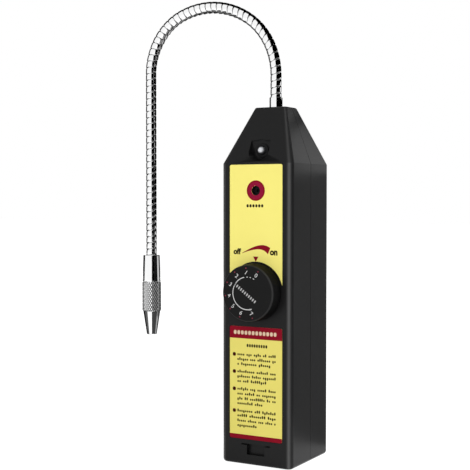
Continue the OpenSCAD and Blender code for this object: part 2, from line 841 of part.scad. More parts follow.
module control_chip() color("#1b1b1d") {
    pin_l = chip_len - pin_pitch;
    pins = floor(pin_l / pin_pitch);
    translate([-chip_x, board_y, knob_z + chip_z]) {
        translate([-chip_w / 2, -chip_t, -chip_len / 2]) cube([chip_w, chip_t - pin_t, chip_len]);
        for (i = [0:pins], s = [-1, 1])
            translate([s * chip_w / 2, -chip_t / 4, (i - pins / 2) * pin_pitch])
                cube([pin_t, chip_t / 2, pin_t], center = true);
    }
}

module capacitors() color("#2b3350")
    for (i = [-1, 0, 1])
        y_rod(i * capacitor_step, knob_z - capacitor_drop, board_y - capacitor_h, board_y, capacitor_r);

module buzzer() color("#141416") difference() {
    y_rod(0, buzzer_z, inner_front_y + buzzer_gap, board_y, buzzer_r);
    y_rod(0, buzzer_z, inner_front_y, inner_front_y + buzzer_gap + port_depth, port_r);
}

module indicator_lamp() color("#d8dcdf") {
    seat_y = pocket_floor_y + pocket_wall;
    dome_y = seat_y + ring_flange_t - lamp_len;
    y_rod(0, lamp_z, seat_y, seat_y + ring_flange_t, lamp_r + lamp_flange);
    y_rod(0, lamp_z, dome_y, seat_y + ring_flange_t, lamp_r);
    translate([0, dome_y, lamp_z]) sphere(lamp_r);
}

module lamp_ring() color("#1d1d1f") difference() {
    union() {
        y_rod(0, lamp_z, pocket_floor_y - ring_flange_t, pocket_floor_y, ring_r + ring_flange);
        y_rod(0, lamp_z, pocket_floor_y - sliver, pocket_floor_y + pocket_wall, ring_r);
    }
    y_rod(0, lamp_z, front_y, back_y, ring_bore_r);
}

module upper_label() color(yellow) difference() {
    y_plate(front_y + recess_t - label_t, front_y + recess_t) upper_label_outline(0);
    y_rod(0, buzzer_z, front_y - past, front_y + past, sound_r);
}

module lower_label() color(yellow)
    y_plate(front_y + recess_t - label_t, front_y + recess_t) lower_label_outline(0);

module neck_collar() color(chrome) difference() {
    union() {
        translate([0, 0, body_h]) cylinder(h = collar_h, r = collar_r);
        translate([0, 0, ceiling_z - neck_nut_h - shank_spare])
            cylinder(h = top_t + neck_nut_h + shank_spare + sliver, r = shank_r);
    }
    translate([0, 0, neck_low_z]) cylinder(h = collar_h, r = neck_r + socket_gap);
    translate([0, 0, ceiling_z - neck_nut_h - shank_spare - past])
        cylinder(h = body_h, r = collar_bore_r);
}

module neck_nut() color(steel) translate([0, 0, ceiling_z - neck_nut_h]) difference() {
    cylinder(h = neck_nut_h, r = neck_nut_af / 2 / cos(30), $fn = 6);
    translate([0, 0, -past]) cylinder(h = neck_nut_h + 2 * past, r = shank_r + thread_gap);
}

// Bend in the plane of the arch about centre, from angle a0 over sweep
module bend(centre, radius, a0, sweep, r) {
    translate([centre[0], 0, centre[1]]) rotate([90, 0, 0])
        rotate([0, 0, a0]) rotate_extrude(angle = sweep) translate([radius, 0]) circle(r);
}

// Round bar along the whole neck, from start_z over the housing to end_z in the tip, a little
// slimmer from one bend to the next so that each length laps inside its neighbour
module neck_bar(r, start_z, end_z) {
    translate([0, 0, start_z]) cylinder(h = arch_z + bar_lap - start_z, r = r);
    lapped_bend(arch_c1, arch_r1, 0, arch_a1, r - bar_step);
    lapped_bend(arch_c2, arch_r2, arch_a1, arch_a2, r - 2 * bar_step);
    lapped_bend(arch_c3, arch_r3, arch_end2, 180 - arch_end2, r - bar_step);
    translate([tip_x, 0, end_z]) cylinder(h = drop_z + bar_lap - end_z, r = r);
}

// Bend that runs on by the lap at both ends
module lapped_bend(centre, radius, a0, sweep, r) {
    lap = bar_lap / radius * 180 / PI;
    bend(centre, radius, a0 - lap, sweep + 2 * lap, r);
}

// Bands of the winding along a straight length
module straight_bands(x, z0, z1) {
    n = round((z1 - z0) / band_pitch);
    pitch = (z1 - z0) / n;
    for (i = [0:n - 1])
        translate([x, 0, z0 + i * pitch]) cylinder(h = pitch - groove_w, r = neck_r);
}

// Bands of the winding round a bend
module bend_bands(centre, radius, a0, sweep) {
    n = round(radius * sweep * PI / 180 / band_pitch);
    step = sweep / n;
    cut = groove_w / radius * 180 / PI;
    for (i = [0:n - 1]) bend(centre, radius, a0 + i * step, step - cut, neck_r);
}

module gooseneck() color(chrome) difference() {
    union() {
        neck_bar(neck_r - groove_depth, neck_low_z, neck_end_z);
        straight_bands(0, neck_low_z, arch_z);
        bend_bands(arch_c1, arch_r1, 0, arch_a1);
        bend_bands(arch_c2, arch_r2, arch_a1, arch_a2);
        bend_bands(arch_c3, arch_r3, arch_end2, 180 - arch_end2);
        straight_bands(tip_x, neck_end_z, drop_z);
    }
    neck_bar(neck_bore_r, neck_low_z - past, neck_end_z - past);
}

module sensor_lead() color("#b02a2a") {
    joint_z = board_high_z - lead_drop;
    lap = bar_lap / lead_bend * 180 / PI;
    neck_bar(lead_r, joint_z + lead_bend - bar_lap, insulator_top_z);
    translate([0, -lead_bend, joint_z + lead_bend]) rotate([90, 0, 90]) rotate([0, 0, -90 - lap])
        rotate_extrude(angle = 90 + 2 * lap) translate([lead_bend, 0]) circle(lead_r - bar_step);
    y_rod(0, joint_z, board_back_y, bar_lap - lead_bend, lead_r);
}

module tip_sleeve() color(chrome) translate([tip_x, 0, 0]) difference() {
    union() {
        translate([0, 0, sleeve_low_z]) cylinder(h = sleeve_len, r1 = sleeve_low_r, r2 = sleeve_top_r);
        translate([0, 0, spigot_z]) cylinder(h = spigot_len + sliver, r = spigot_r);
    }
    translate([0, 0, neck_end_z]) cylinder(h = socket_depth + past, r = neck_r + socket_gap);
    translate([0, 0, spigot_z - past])
        cylinder(h = insulator_top_z - spigot_z + past, r = insulator_r + socket_gap);
    translate([0, 0, spigot_z]) cylinder(h = sleeve_top_z - spigot_z, r = lead_r + socket_gap);
}

module sensor_insulator() color("#e9e4d6") translate([tip_x, 0, insulator_low_z])
    cylinder(h = insulator_top_z - insulator_low_z, r = insulator_r);

module sensor_electrode() color(brass) translate([tip_x, 0, insulator_low_z - electrode_len]) {
    translate([0, 0, point_len]) cylinder(h = electrode_len - point_len, r = electrode_r);
    cylinder(h = point_len, r1 = point_r, r2 = electrode_r);
}

module tip_cover() color(chrome) translate([tip_x, 0, 0]) difference() {
    rotate_extrude() polygon([
        [0, mouth_z], [cone_end_r, mouth_z], [knurl_r - knurl_bevel, grip_low_z],
        [knurl_r, grip_low_z + knurl_bevel], [knurl_r, grip_top_z - knurl_bevel],
        [knurl_r - knurl_bevel, grip_top_z], [0, grip_top_z]]);
    translate([0, 0, spigot_z - cover_gap]) cylinder(h = body_h, r = spigot_r + cover_play);
    translate([0, 0, grip_low_z]) cylinder(h = body_h, r = chamber_r);
    translate([0, 0, mouth_z + throat_len - sliver])
        cylinder(h = cone_len - throat_len + 2 * sliver, r1 = mouth_r, r2 = chamber_r);
    translate([0, 0, mouth_z - past]) cylinder(h = throat_len + past, r = mouth_r);
}

front_shell();
rear_shell();
housing_screws();
battery_door();
door_plate();
door_spring();
lower_cell();
upper_cell();
top_contact();
return_strip();
circuit_board();
board_screws();
potentiometer();
pot_shaft();
pot_nut();
sensitivity_knob();
transformer();
control_chip();
capacitors();
buzzer();
indicator_lamp();
lamp_ring();
upper_label();
lower_label();
neck_collar();
neck_nut();
gooseneck();
sensor_lead();
tip_sleeve();
sensor_insulator();
sensor_electrode();
tip_cover();
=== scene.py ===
import math

import bmesh
import bpy
import numpy as np
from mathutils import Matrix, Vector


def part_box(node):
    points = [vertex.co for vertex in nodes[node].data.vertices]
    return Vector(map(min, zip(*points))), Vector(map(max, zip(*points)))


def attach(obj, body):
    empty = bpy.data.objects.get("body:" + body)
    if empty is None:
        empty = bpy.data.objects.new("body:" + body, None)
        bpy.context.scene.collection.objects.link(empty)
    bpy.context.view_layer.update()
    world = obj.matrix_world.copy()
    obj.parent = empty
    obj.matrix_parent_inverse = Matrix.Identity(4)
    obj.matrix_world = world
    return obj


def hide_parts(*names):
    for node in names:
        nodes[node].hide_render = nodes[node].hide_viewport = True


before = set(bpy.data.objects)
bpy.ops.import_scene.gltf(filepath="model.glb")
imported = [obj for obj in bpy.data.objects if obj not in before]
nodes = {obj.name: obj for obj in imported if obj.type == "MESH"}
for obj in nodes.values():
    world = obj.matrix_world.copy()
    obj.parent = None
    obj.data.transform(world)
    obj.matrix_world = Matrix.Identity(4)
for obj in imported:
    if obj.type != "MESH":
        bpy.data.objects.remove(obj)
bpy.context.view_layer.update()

MM = 0.001


# Circuit board: green lacquered glass-fibre laminate on four posts in the front shell. It carries
# the transformer, the chip, the capacitors and the sounder, all soldered to its front.

def feed(tree, socket, value):
    """Links a shader socket to another socket, or sets it to a plain value."""
    if isinstance(value, bpy.types.NodeSocket):
        tree.links.new(value, socket)
    else:
        socket.default_value = value


def put(tree, kind, settings=None, **inputs):
    """Adds one shader node: settings are its own options, inputs its sockets by name."""
    made = tree.nodes.new("ShaderNode" + kind)
    for option, value in (settings or {}).items():
        setattr(made, option, value)
    for label, value in inputs.items():
        feed(tree, made.inputs[label.replace("_", " ")], value)
    return made


def arithmetic(tree, operation, *values):
    """One step of arithmetic on plain values or sockets."""
    made = put(tree, "Math", {"operation": operation})
    for socket, value in zip(made.inputs, values):
        feed(tree, socket, value)
    return made.outputs[0]


# Places of the colour sockets on a Mix node
MIX_FACTOR, MIX_FIRST, MIX_SECOND, MIX_RESULT = 0, 6, 7, 2


def blend_colours(tree, mask, first, second):
    """Colour between two colours by a mask from 0 to 1; a plain colour is three numbers."""
    mix = put(tree, "Mix", {"data_type": "RGBA"})
    for place, value in ((MIX_FACTOR, mask), (MIX_FIRST, first), (MIX_SECOND, second)):
        feed(tree, mix.inputs[place], (*value, 1) if isinstance(value, tuple) else value)
    return mix.outputs[MIX_RESULT]


def between(tree, mask, low, high):
    """Value that runs from low to high as the mask runs from 0 to 1."""
    return put(tree, "MapRange", Value=mask, To_Min=low, To_Max=high).outputs["Result"]


def open_group(name, inputs, outputs):
    """Empty shader group with float inputs and outputs; returns its tree and both ends."""
    tree = bpy.data.node_groups.new(name, "ShaderNodeTree")
    for label, value in inputs.items():
        socket = tree.interface.new_socket(label, in_out="INPUT", socket_type="NodeSocketFloat")
        socket.default_value = value
    for label in outputs:
        tree.interface.new_socket(label, in_out="OUTPUT", socket_type="NodeSocketFloat")
    return tree, tree.nodes.new("NodeGroupInput"), tree.nodes.new("NodeGroupOutput")


# Grain of a moulding: a fine height noise and a slow cloud of tone, sized in millimetres
moulded_grain, ends_in, ends_out = open_group(
    "moulded_grain", {"Grain mm": 0.3, "Cloud mm": 15.0}, ("Height", "Cloud"))
spot = put(moulded_grain, "TexCoord").outputs["Object"]
for size, result, detail in (("Grain mm", "Height", 3.0), ("Cloud mm", "Cloud", 4.0)):
    scale = arithmetic(moulded_grain, "DIVIDE", 1 / MM, ends_in.outputs[size])
    noise = put(moulded_grain, "TexNoise", Vector=spot, Scale=scale, Detail=detail)
    moulded_grain.links.new(noise.outputs["Fac"], ends_out.inputs[result])


def new_finish(name):
    """Material with its tree and its shader, ready for nodes."""
    made = bpy.data.materials.new(name)
    made.use_nodes = True
    return made, made.node_tree, made.node_tree.nodes["Principled BSDF"]


def use_group(tree, group, **values):
    """Places a shader group in a material with its own values."""
    made = tree.nodes.new("ShaderNodeGroup")
    made.node_tree = group
    for label, value in values.items():
        made.inputs[label.replace("_", " ")].default_value = value
    return made


def moulded_finish(name, dark, light, rough, grain, cloud, depth, **sockets):
    """Moulded or printed finish: tone and gloss drift between two ends with the cloud, and the
    grain lifts the surface by depth. Grain, cloud and depth are in millimetres."""
    made, tree, shader = new_finish(name)
    group = use_group(tree, moulded_grain, Grain_mm=grain, Cloud_mm=cloud)
    drift = group.outputs["Cloud"]
    lift = put(tree, "Bump", Strength=1.0, Distance=depth * MM, Height=group.outputs["Height"])
    tree.links.new(blend_colours(tree, drift, dark, light), shader.inputs["Base Color"])
    tree.links.new(between(tree, drift, *rough), shader.inputs["Roughness"])
    tree.links.new(lift.outputs["Normal"], shader.inputs["Normal"])
    for label, value in sockets.items():
        shader.inputs[label.replace("_", " ")].default_value = value
    return made


def dress(node, finish):
    """Gives a carried-over solid its finish."""
    nodes[node].data.materials.clear()
    nodes[node].data.materials.append(finish)


dress("circuit_board", moulded_finish(
    "laminate", (0.02, 0.1, 0.035), (0.045, 0.17, 0.06), rough=(0.28, 0.42),
    grain=0.5, cloud=6, depth=0.02, Coat_Weight=0.3))
dress("transformer", moulded_finish(
    "varnished_core", (0.07, 0.045, 0.03), (0.15, 0.1, 0.06), rough=(0.3, 0.5),
    grain=0.4, cloud=3, depth=0.03))
dark_moulding = moulded_finish(
    "dark_moulding", (0.006, 0.006, 0.0065), (0.011, 0.011, 0.0115), rough=(0.42, 0.55),
    grain=0.15, cloud=4, depth=0.008, Specular_IOR_Level=0.12)
for small_part in ("control_chip", "buzzer"):
    dress(small_part, dark_moulding)
dress("capacitors", moulded_finish(
    "capacitor_sleeve", (0.02, 0.025, 0.06), (0.035, 0.045, 0.1), rough=(0.25, 0.35),
    grain=0.3, cloud=5, depth=0.004))


# Sensitivity control under the knob: a zinc-plated can and bushing soldered to the board, with a
# steel shaft and a hexagon nut that clamps the bushing to the front wall. The screws and the
# neck's nut share its plating.

# Streaks of drawn or turned metal: noise that is stretched along the upright axis
metal_streaks, ends_in, ends_out = open_group(
    "metal_streaks", {"Streak mm": 0.4, "Stretch": 0.06}, ("Height", "Streak"))
drawn = put(metal_streaks, "CombineXYZ", X=1.0, Y=1.0, Z=ends_in.outputs["Stretch"])
spread = put(metal_streaks, "Mapping", Vector=put(metal_streaks, "TexCoord").outputs["Object"],
             Scale=drawn.outputs["Vector"])
scale = arithmetic(metal_streaks, "DIVIDE", 1 / MM, ends_in.outputs["Streak mm"])
noise = put(metal_streaks, "TexNoise", Vector=spread.outputs["Vector"], Scale=scale, Detail=4.0)
for result in ("Height", "Streak"):
    metal_streaks.links.new(noise.outputs["Fac"], ends_out.inputs[result])


def metal_finish(name, dark, light, rough, streak, depth):
    """Bare or plated metal: tone and gloss run in streaks, which lift the surface by depth. Both
    are in millimetres."""
    made, tree, shader = new_finish(name)
    group = use_group(tree, metal_streaks, Streak_mm=streak)
    run = group.outputs["Streak"]
    lift = put(tree, "Bump", Strength=1.0, Distance=depth * MM, Height=group.outputs["Height"])
    tree.links.new(blend_colours(tree, run, dark, light), shader.inputs["Base Color"])
    tree.links.new(between(tree, run, *rough), shader.inputs["Roughness"])
    tree.links.new(lift.outputs["Normal"], shader.inputs["Normal"])
    shader.inputs["Metallic"].default_value = 1.0
    return made


zinc_plate = metal_finish("zinc_plate", (0.42, 0.43, 0.45), (0.6, 0.61, 0.62),
                          rough=(0.25, 0.42), streak=0.35, depth=0.004)
for steel_part in ("potentiometer", "pot_shaft", "pot_nut", "board_screws", "housing_screws",
                   "neck_nut"):
    dress(steel_part, zinc_plate)


# Indicator lamp: a clear moulded lens with a domed end, pushed from behind into a black snap ring
# in the floor of the pocket on the front slope.

RING_BORE_R, RING_R, RING_FLANGE_R, RING_FLANGE_T = 2.58, 3.38, 4.28, 0.9
RING_ROUNDING = (0.35, 0.35, 0.05, 0.05, 0.1, 0.1)
LENS_R, LENS_FLANGE_R, LENS_FLANGE_T = 2.5, 2.9, 0.9
LENS_ROUGH, LENS_SPECULAR = 0.09, 0.3
CUP_GLINT_MIDDLE, CUP_GLINT_R, CUP_GLINT_EDGE = (0.35, 0.3), 0.9, 1.4
CUP_GLINT_TONE, DOME_TONE = (0.72, 0.73, 0.76), (0.045, 0.046, 0.05)


def filleted(corners, radii, closed=True):
    """Profile with rounded corners: each corner gives way to an arc that touches both of its
    sides, and two points near the ends of each side keep the side straight. The ends of an open
    profile stay sharp."""
    steps, most_of_side, near_end = 6, 0.49, 0.04
    p = np.array(corners, float)
    back, ahead = np.roll(p, 1, 0) - p, np.roll(p, -1, 0) - p
    near, far = np.linalg.norm(back, axis=1), np.linalg.norm(ahead, axis=1)
    back, ahead = back / near[:, None], ahead / far[:, None]
    half = np.arccos(np.clip((back * ahead).sum(1), -1, 1)) / 2
    room = most_of_side * np.minimum(near, far) * np.tan(half)
    r = np.minimum(np.array(radii, float), room)
    inward = (back + ahead) / np.linalg.norm(back + ahead, axis=1)[:, None]
    centre = p + inward * (r / np.sin(half))[:, None]
    start = p + back * (r / np.tan(half))[:, None] - centre
    end = p + ahead * (r / np.tan(half))[:, None] - centre
    sweep, t = (np.pi - 2 * half)[:, None], np.linspace(0, 1, steps)[None, :]
    a, b = np.sin((1 - t) * sweep) / np.sin(sweep), np.sin(t * sweep) / np.sin(sweep)
    arcs = centre[:, None] + a[..., None] * start[:, None] + b[..., None] * end[:, None]
    if not closed:
        arcs[0], arcs[-1] = p[0], p[-1]
    after, side = arcs[:, -1:], np.roll(arcs[:, :1], -1, 0) - arcs[:, -1:]
    line = np.concatenate([arcs, after + near_end * side, after + (1 - near_end) * side], 1)
    line = line.reshape(-1, 2)
    return line if closed else line[:-2]


def surface(name, points, closed_u=False, closed_v=False, sharp=38, **masks):
    """Mesh over a grid of points in millimetres: one face a cell, the last row joined to the
    first in a closed direction, and points that meet merged. Masks are values on the grid, kept
    as attributes."""
    nu, nv = points.shape[:2]
    i = np.arange(nu if closed_u else nu - 1)[:, None]
    j = np.arange(nv if closed_v else nv - 1)[None, :]
    i1, j1 = (i + 1) % nu, (j + 1) % nv
    quads = np.stack([i * nv + j, i1 * nv + j, i1 * nv + j1, i * nv + j1], -1).reshape(-1, 4)
    mesh = bpy.data.meshes.new(name)
    mesh.from_pydata((points.reshape(-1, 3) * MM).tolist(), [], quads.tolist())
    for label, values in masks.items():
        mask = mesh.attributes.new(label, "FLOAT", "POINT")
        flat = np.broadcast_to(values, (nu, nv)).astype(np.float32).ravel()
        mask.data.foreach_set("value", flat)
    return closed_mesh(name, mesh, sharp)


# Distances in metres: points closer than the first are one, and edges shorter than the second go
MEET, SLIVER = 2e-7, 1e-8


def closed_mesh(name, mesh, sharp):
    """Merges points that meet, turns faces outwards, shades smooth up to the sharp angle in
    degrees, and returns the object."""
    work = bmesh.new()
    work.from_mesh(mesh)
    bmesh.ops.remove_doubles(work, verts=work.verts, dist=MEET)
    bmesh.ops.dissolve_degenerate(work, edges=work.edges, dist=SLIVER)
    bmesh.ops.recalc_face_normals(work, faces=work.faces)
    work.to_mesh(mesh)
    work.free()
    mesh.shade_smooth()
    mesh.set_sharp_from_angle(angle=math.radians(sharp))
    made = bpy.data.objects.new(name, mesh)
    bpy.context.scene.collection.objects.link(made)
    return made


def turned(profile, centre, axis, steps):
    """Grid of a turned piece: the profile's radius and height, carried round the axis through
    centre in even steps. The axis is Z, or Y with heights counted towards the front."""
    a = np.linspace(0, 2 * np.pi, steps, endpoint=False)[:, None]
    r, h = profile[None, :, 0], profile[None, :, 1]
    across, along = r * np.cos(a), r * np.sin(a)
    height = np.broadcast_to(h, across.shape)
    grid = (across, along, height) if axis == "Z" else (across, -height, along)
    return np.stack(grid, -1) + np.array(centre, float)


def fit_out(piece, finish, body, slot, *replaced):
    """Gives a finished piece its material and body, and hides the solids that it stands for. Its
    slot is not used.
    """
    piece.data.materials.clear()
    piece.data.materials.append(finish)
    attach(piece, body)
    if replaced:
        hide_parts(*replaced)
    return piece


def box_mm(node):
    """Lowest and highest corner of a solid, in millimetres."""
    low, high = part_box(node)
    return np.array(low) / MM, np.array(high) / MM


ring_low, ring_high = box_mm("lamp_ring")
lamp_z = (ring_low[2] + ring_high[2]) / 2
ring_front, ring_back = -ring_low[1], -ring_high[1]
ring_step = ring_front - RING_FLANGE_T
ring_profile = filleted(
    [(RING_BORE_R, ring_front), (RING_FLANGE_R, ring_front), (RING_FLANGE_R, ring_step),
     (RING_R, ring_step), (RING_R, ring_back), (RING_BORE_R, ring_back)], RING_ROUNDING)
fit_out(surface("lamp_snap_ring", turned(ring_profile, (0, 0, lamp_z), "Y", 64), True, True),
        dark_moulding, "housing", "knob_plastic", "lamp_ring")

lens_low, lens_high = box_mm("indicator_lamp")
lens_tip, lens_back = -lens_low[1], -lens_high[1]
lens_step = lens_back + LENS_FLANGE_T
dome = np.linspace(0, np.pi / 2, 14)
lens_profile = np.concatenate([
    np.stack([LENS_R * np.sin(dome), lens_tip - LENS_R + LENS_R * np.cos(dome)], 1),
    [(LENS_R, lens_step), (LENS_FLANGE_R, lens_step), (LENS_FLANGE_R, lens_back), (0, lens_back)]])


def off_axis(tree, x, z):
    """Distance in metres from a line along Y through a point in X and Z, in millimetres."""
    place = put(tree, "Mapping", Vector=put(tree, "TexCoord").outputs["Object"],
                Location=(-x * MM, 0, -z * MM), Scale=(1, 0, 1))
    away = put(tree, "VectorMath", {"operation": "LENGTH"}, Vector=place.outputs["Vector"])
    return away.outputs["Value"]


def fade(tree, value, low, high):
    """Smooth step from 0 at the low value to 1 at the high value, both in millimetres."""
    return put(tree, "MapRange", {"interpolation_type": "SMOOTHSTEP"}, Value=value,
               From_Min=low * MM, From_Max=high * MM).outputs["Result"]


# A pale spot on the lens, a little up and to the right of its middle: the lamp's bright cup showing
# through, with a painted highlight on it
clear_lens, tree, shader = new_finish("clear_lens")
from_cup_glint = off_axis(tree, CUP_GLINT_MIDDLE[0], lamp_z + CUP_GLINT_MIDDLE[1])
past_cup_glint = fade(tree, from_cup_glint, CUP_GLINT_R, CUP_GLINT_R + CUP_GLINT_EDGE)
tree.links.new(blend_colours(tree, past_cup_glint, CUP_GLINT_TONE, DOME_TONE), shader.inputs["Base Color"])
shader.inputs["Roughness"].default_value = LENS_ROUGH
shader.inputs["Specular IOR Level"].default_value = LENS_SPECULAR
fit_out(surface("lamp_lens", turned(lens_profile, (0, 0, lamp_z), "Y", 48), True),
        clear_lens, "housing", "lens", "indicator_lamp")


# Batteries: two printed dry cells in line, with pressed brass contacts above them and a brass
# strip that leads down the back to the door.

dress("lower_cell", moulded_finish(
    "cell_jacket", (0.16, 0.17, 0.19), (0.22, 0.23, 0.25), rough=(0.3, 0.4),
    grain=0.4, cloud=20, depth=0.004, Metallic=0.6))
dress("upper_cell", nodes["lower_cell"].data.materials[0])
spring_brass = metal_finish("spring_brass", (0.55, 0.42, 0.2), (0.75, 0.62, 0.34),
                            rough=(0.22, 0.36), streak=0.5, depth=0.004)
for brass_part in ("top_contact", "return_strip", "sensor_electrode"):
    dress(brass_part, spring_brass)


# Housing: front and rear halves moulded in black plastic with a fine matt texture, joined by a
# lip along the seam and by four screws from the back.

housing_plastic = moulded_finish(
    "housing_plastic", (0.0088, 0.0088, 0.009), (0.0106, 0.0106, 0.0108), rough=(0.28, 0.34),
    grain=0.22, cloud=26, depth=0.006, Specular_IOR_Level=0.125)

# Painted highlight on the corners: a paler colour laid where a soft light would glint. The mask is
# a bell over the angle round each corner's own axis,
#  which stands upright to the shoulder and leans in with the sloped head above it
CORNER_AXIS, HEAD_AXIS, HIGHLIGHT_TOP, HEAD_TOP = (21.1, 23.4), (9.35, 6.4), 190.0, 226.3
HIGHLIGHT_ANGLE, HIGHLIGHT_SPREAD, SLOPE_SHARE, HIGHLIGHT_TONE = 31.0, 16.0, 0.4, (0.082, 0.082, 0.082)
highlight_tree, ends_in, ends_out = open_group("painted_corner_highlight", {}, ("Mask",))
spot = put(highlight_tree, "SeparateXYZ", Vector=put(highlight_tree, "TexCoord").outputs["Object"]).outputs
up_slope = put(highlight_tree, "MapRange", Value=spot["Z"], From_Min=HIGHLIGHT_TOP * MM,
               From_Max=HEAD_TOP * MM).outputs["Result"]
past = [arithmetic(highlight_tree, "SUBTRACT", arithmetic(highlight_tree, "ABSOLUTE", spot[axis]),
                   between(highlight_tree, up_slope, low * MM, high * MM))
        for axis, low, high in zip("XY", CORNER_AXIS, HEAD_AXIS)]
angle = arithmetic(highlight_tree, "ARCTAN2", *[arithmetic(highlight_tree, "MAXIMUM", part, 0.0) for part in past])
off_peak = arithmetic(highlight_tree, "SUBTRACT", angle, math.radians(HIGHLIGHT_ANGLE))
away = arithmetic(highlight_tree, "DIVIDE", off_peak, math.radians(HIGHLIGHT_SPREAD))
fall = arithmetic(highlight_tree, "MULTIPLY", arithmetic(highlight_tree, "MULTIPLY", away, away), -1.0)
bell = arithmetic(highlight_tree, "EXPONENT", fall)
on_slope = arithmetic(highlight_tree, "GREATER_THAN", spot["Z"], HIGHLIGHT_TOP * MM)
strength = between(highlight_tree, on_slope, 1.0, SLOPE_SHARE)
on_corner = arithmetic(highlight_tree, "GREATER_THAN", arithmetic(highlight_tree, "MINIMUM", *past), 0.0)
mask = arithmetic(highlight_tree, "MULTIPLY", arithmetic(highlight_tree, "MULTIPLY", bell, strength), on_corner)
highlight_tree.links.new(mask, ends_out.inputs["Mask"])


def overlay(finish, mask, colour):
    """Lays a second colour over a finish's own, by a mask from 0 to 1 in its tree."""
    tree = finish.node_tree
    base = tree.nodes["Principled BSDF"].inputs["Base Color"]
    tree.links.new(blend_colours(tree, mask, base.links[0].from_socket, colour), base)


# The housing's corners get the painted highlight
overlay(housing_plastic, use_group(housing_plastic.node_tree, highlight_tree).outputs["Mask"], HIGHLIGHT_TONE)


def smoothed_solid(node, name):
    """Copy of a solid with its loose triangles merged and its curved faces shaded as one."""
    made = closed_mesh(name, nodes[node].data.copy(), sharp=14)
    weigh = made.modifiers.new("even_normals", "WEIGHTED_NORMAL")
    weigh.keep_sharp = True
    weigh.weight = 100
    return made


for half in ("front_shell", "rear_shell"):
    fit_out(smoothed_solid(half, half + "_moulding"), housing_plastic, "housing",
            "housing_plastic", half)


# Battery door: a black moulded plate with an upright latch tongue behind the front wall. A brass
# plate and a coil spring riveted to its inside press on the lower cell.

fit_out(smoothed_solid("battery_door", "battery_door_moulding"), housing_plastic, "door",
        "housing_plastic", "battery_door")
dress("door_plate", spring_brass)
dress("door_spring", zinc_plate)


# Labels: two yellow printed films that lie in shallow recesses of the front. Their inks are thin
# raised fields: a ring round the sound hole, a wedge between off and on, red bands, and rows of
# small marks.

# The lower label's yellow is darker than the upper's: painted shade, for the light falling off
# lower down the front
YELLOW_TOP = ((0.93, 0.835, 0.21), (0.95, 0.855, 0.235))
YELLOW_LOW_SHADED = ((0.75, 0.665, 0.15), (0.79, 0.695, 0.175))
FILM_FEEL = {"rough": (0.4, 0.5), "grain": 0.2, "depth": 0.004, "Specular_IOR_Level": 0.04}
INK_T, INK_SINK, INK_SHARP = 0.03, 0.02, 30

for film, yellow in (("upper_label", YELLOW_TOP), ("lower_label", YELLOW_LOW_SHADED)):
    dress(film, moulded_finish(film + "_film", *yellow, cloud=30, **FILM_FEEL))


def printed(name, dark, light):
    """Printing ink: a flat colour with a slight cloud, as dull as the film."""
    return moulded_finish(name, dark, light, cloud=8, **FILM_FEEL)


red_ink = printed("red_ink", (0.21, 0.004, 0.014), (0.25, 0.006, 0.018))
crimson_ink = printed("crimson_ink", (0.24, 0.006, 0.028), (0.29, 0.01, 0.045))
dark_ink = printed("dark_ink", (0.01, 0.007, 0.003), (0.02, 0.014, 0.006))
cream_ink = printed("cream_ink", (0.66, 0.5, 0.34), (0.76, 0.6, 0.42))
white_ink = printed("white_ink", (0.6, 0.6, 0.6), (0.72, 0.72, 0.72))


def ink_field(name, across, front, closed=False):
    """Thin closed slab of ink: a grid of X and Z in millimetres, raised from the film at Y =
    front. The front sheet turns into the back sheet along both long sides, and into it again at
    both ends."""
    front_sheet = np.insert(across, 1, front - INK_T, axis=2)
    back_sheet = np.insert(across, 1, front + INK_SINK, axis=2)
    loop = np.concatenate([front_sheet, back_sheet[:, ::-1]], 1)
    if not closed:
        flat = np.concatenate([back_sheet, back_sheet[:, ::-1]], 1)
        loop = np.concatenate([flat[:1], loop, flat[-1:]], 0)
    return surface(name, loop, closed, True)


def ring_field(centre, inner, outer, start=0.0, end=360.0, steps=73):
    """Grid of X and Z between two radii, from start to end in degrees clockwise from the top."""
    a = np.radians(np.linspace(start, end, steps))[:, None]
    r = np.array([inner, outer])[None, :]
    return np.stack([centre[0] + r * np.sin(a), centre[1] + r * np.cos(a)], -1)


def between_curves(first, second):
    """Grid of X and Z with one curve along each side."""
    return np.stack([first, second], 1)


film_front, upper_top = box_mm("upper_label")[0][1], box_mm("upper_label")[1][2]
film_low, film_high = box_mm("lower_label")
label_half, lower_z, lower_top = film_high[0], film_low[2], film_high[2]
SOUND_DROP, SOUND_R, MARK_RIM_R, MARK_R = 16.3, 3.0, 5.5, 6.4
sound_z = upper_top - SOUND_DROP

for part, inner, outer, ink in (("rim", MARK_RIM_R, MARK_R, red_ink),
                                ("field", SOUND_R, MARK_RIM_R, crimson_ink)):
    ring = ring_field((0, sound_z), inner, outer)[:-1]
    fit_out(ink_field("sound_mark_" + part, ring, film_front, True), ink, "housing", "label")

# Edges of the wedge as a few points: X, and height from the label's top
WEDGE_OUTER = ((-9.9, -55.5), (-5.9, -53.45), (-2.0, -51.66), (1.85, -50.56), (4.9, -50.16),
               (8.0, -50.77), (10.25, -51.93))
WEDGE_INNER = ((-9.4, -55.6), (-5.9, -54.34), (-2.0, -53.29), (1.85, -52.93), (4.9, -53.26),
               (7.2, -54.42), (8.6, -55.87))


def smooth_line(points):
    """Even curve near a few points: height as a fourth-degree polynomial of X."""
    steps, degree = 40, 4
    x, z = np.array(points).T
    along = np.linspace(x[0], x[-1], steps)
    return np.stack([along, upper_top + np.polyval(np.polyfit(x, z, degree), along)], 1)


wedge = between_curves(smooth_line(WEDGE_OUTER), smooth_line(WEDGE_INNER))
fit_out(ink_field("level_wedge", wedge, film_front), red_ink, "housing", "label")

POINTER_HALF, POINTER_TIP_HALF = 1.9, 0.02
POINTER_TOP, POINTER_TIP = upper_top - 57.5, upper_top - 60.7
pointer = between_curves(
    np.array([(-POINTER_HALF, POINTER_TOP), (-POINTER_TIP_HALF, POINTER_TIP)]),
    np.array([(POINTER_HALF, POINTER_TOP), (POINTER_TIP_HALF, POINTER_TIP)]))
fit_out(ink_field("dial_pointer", pointer, film_front), red_ink, "housing", "label")


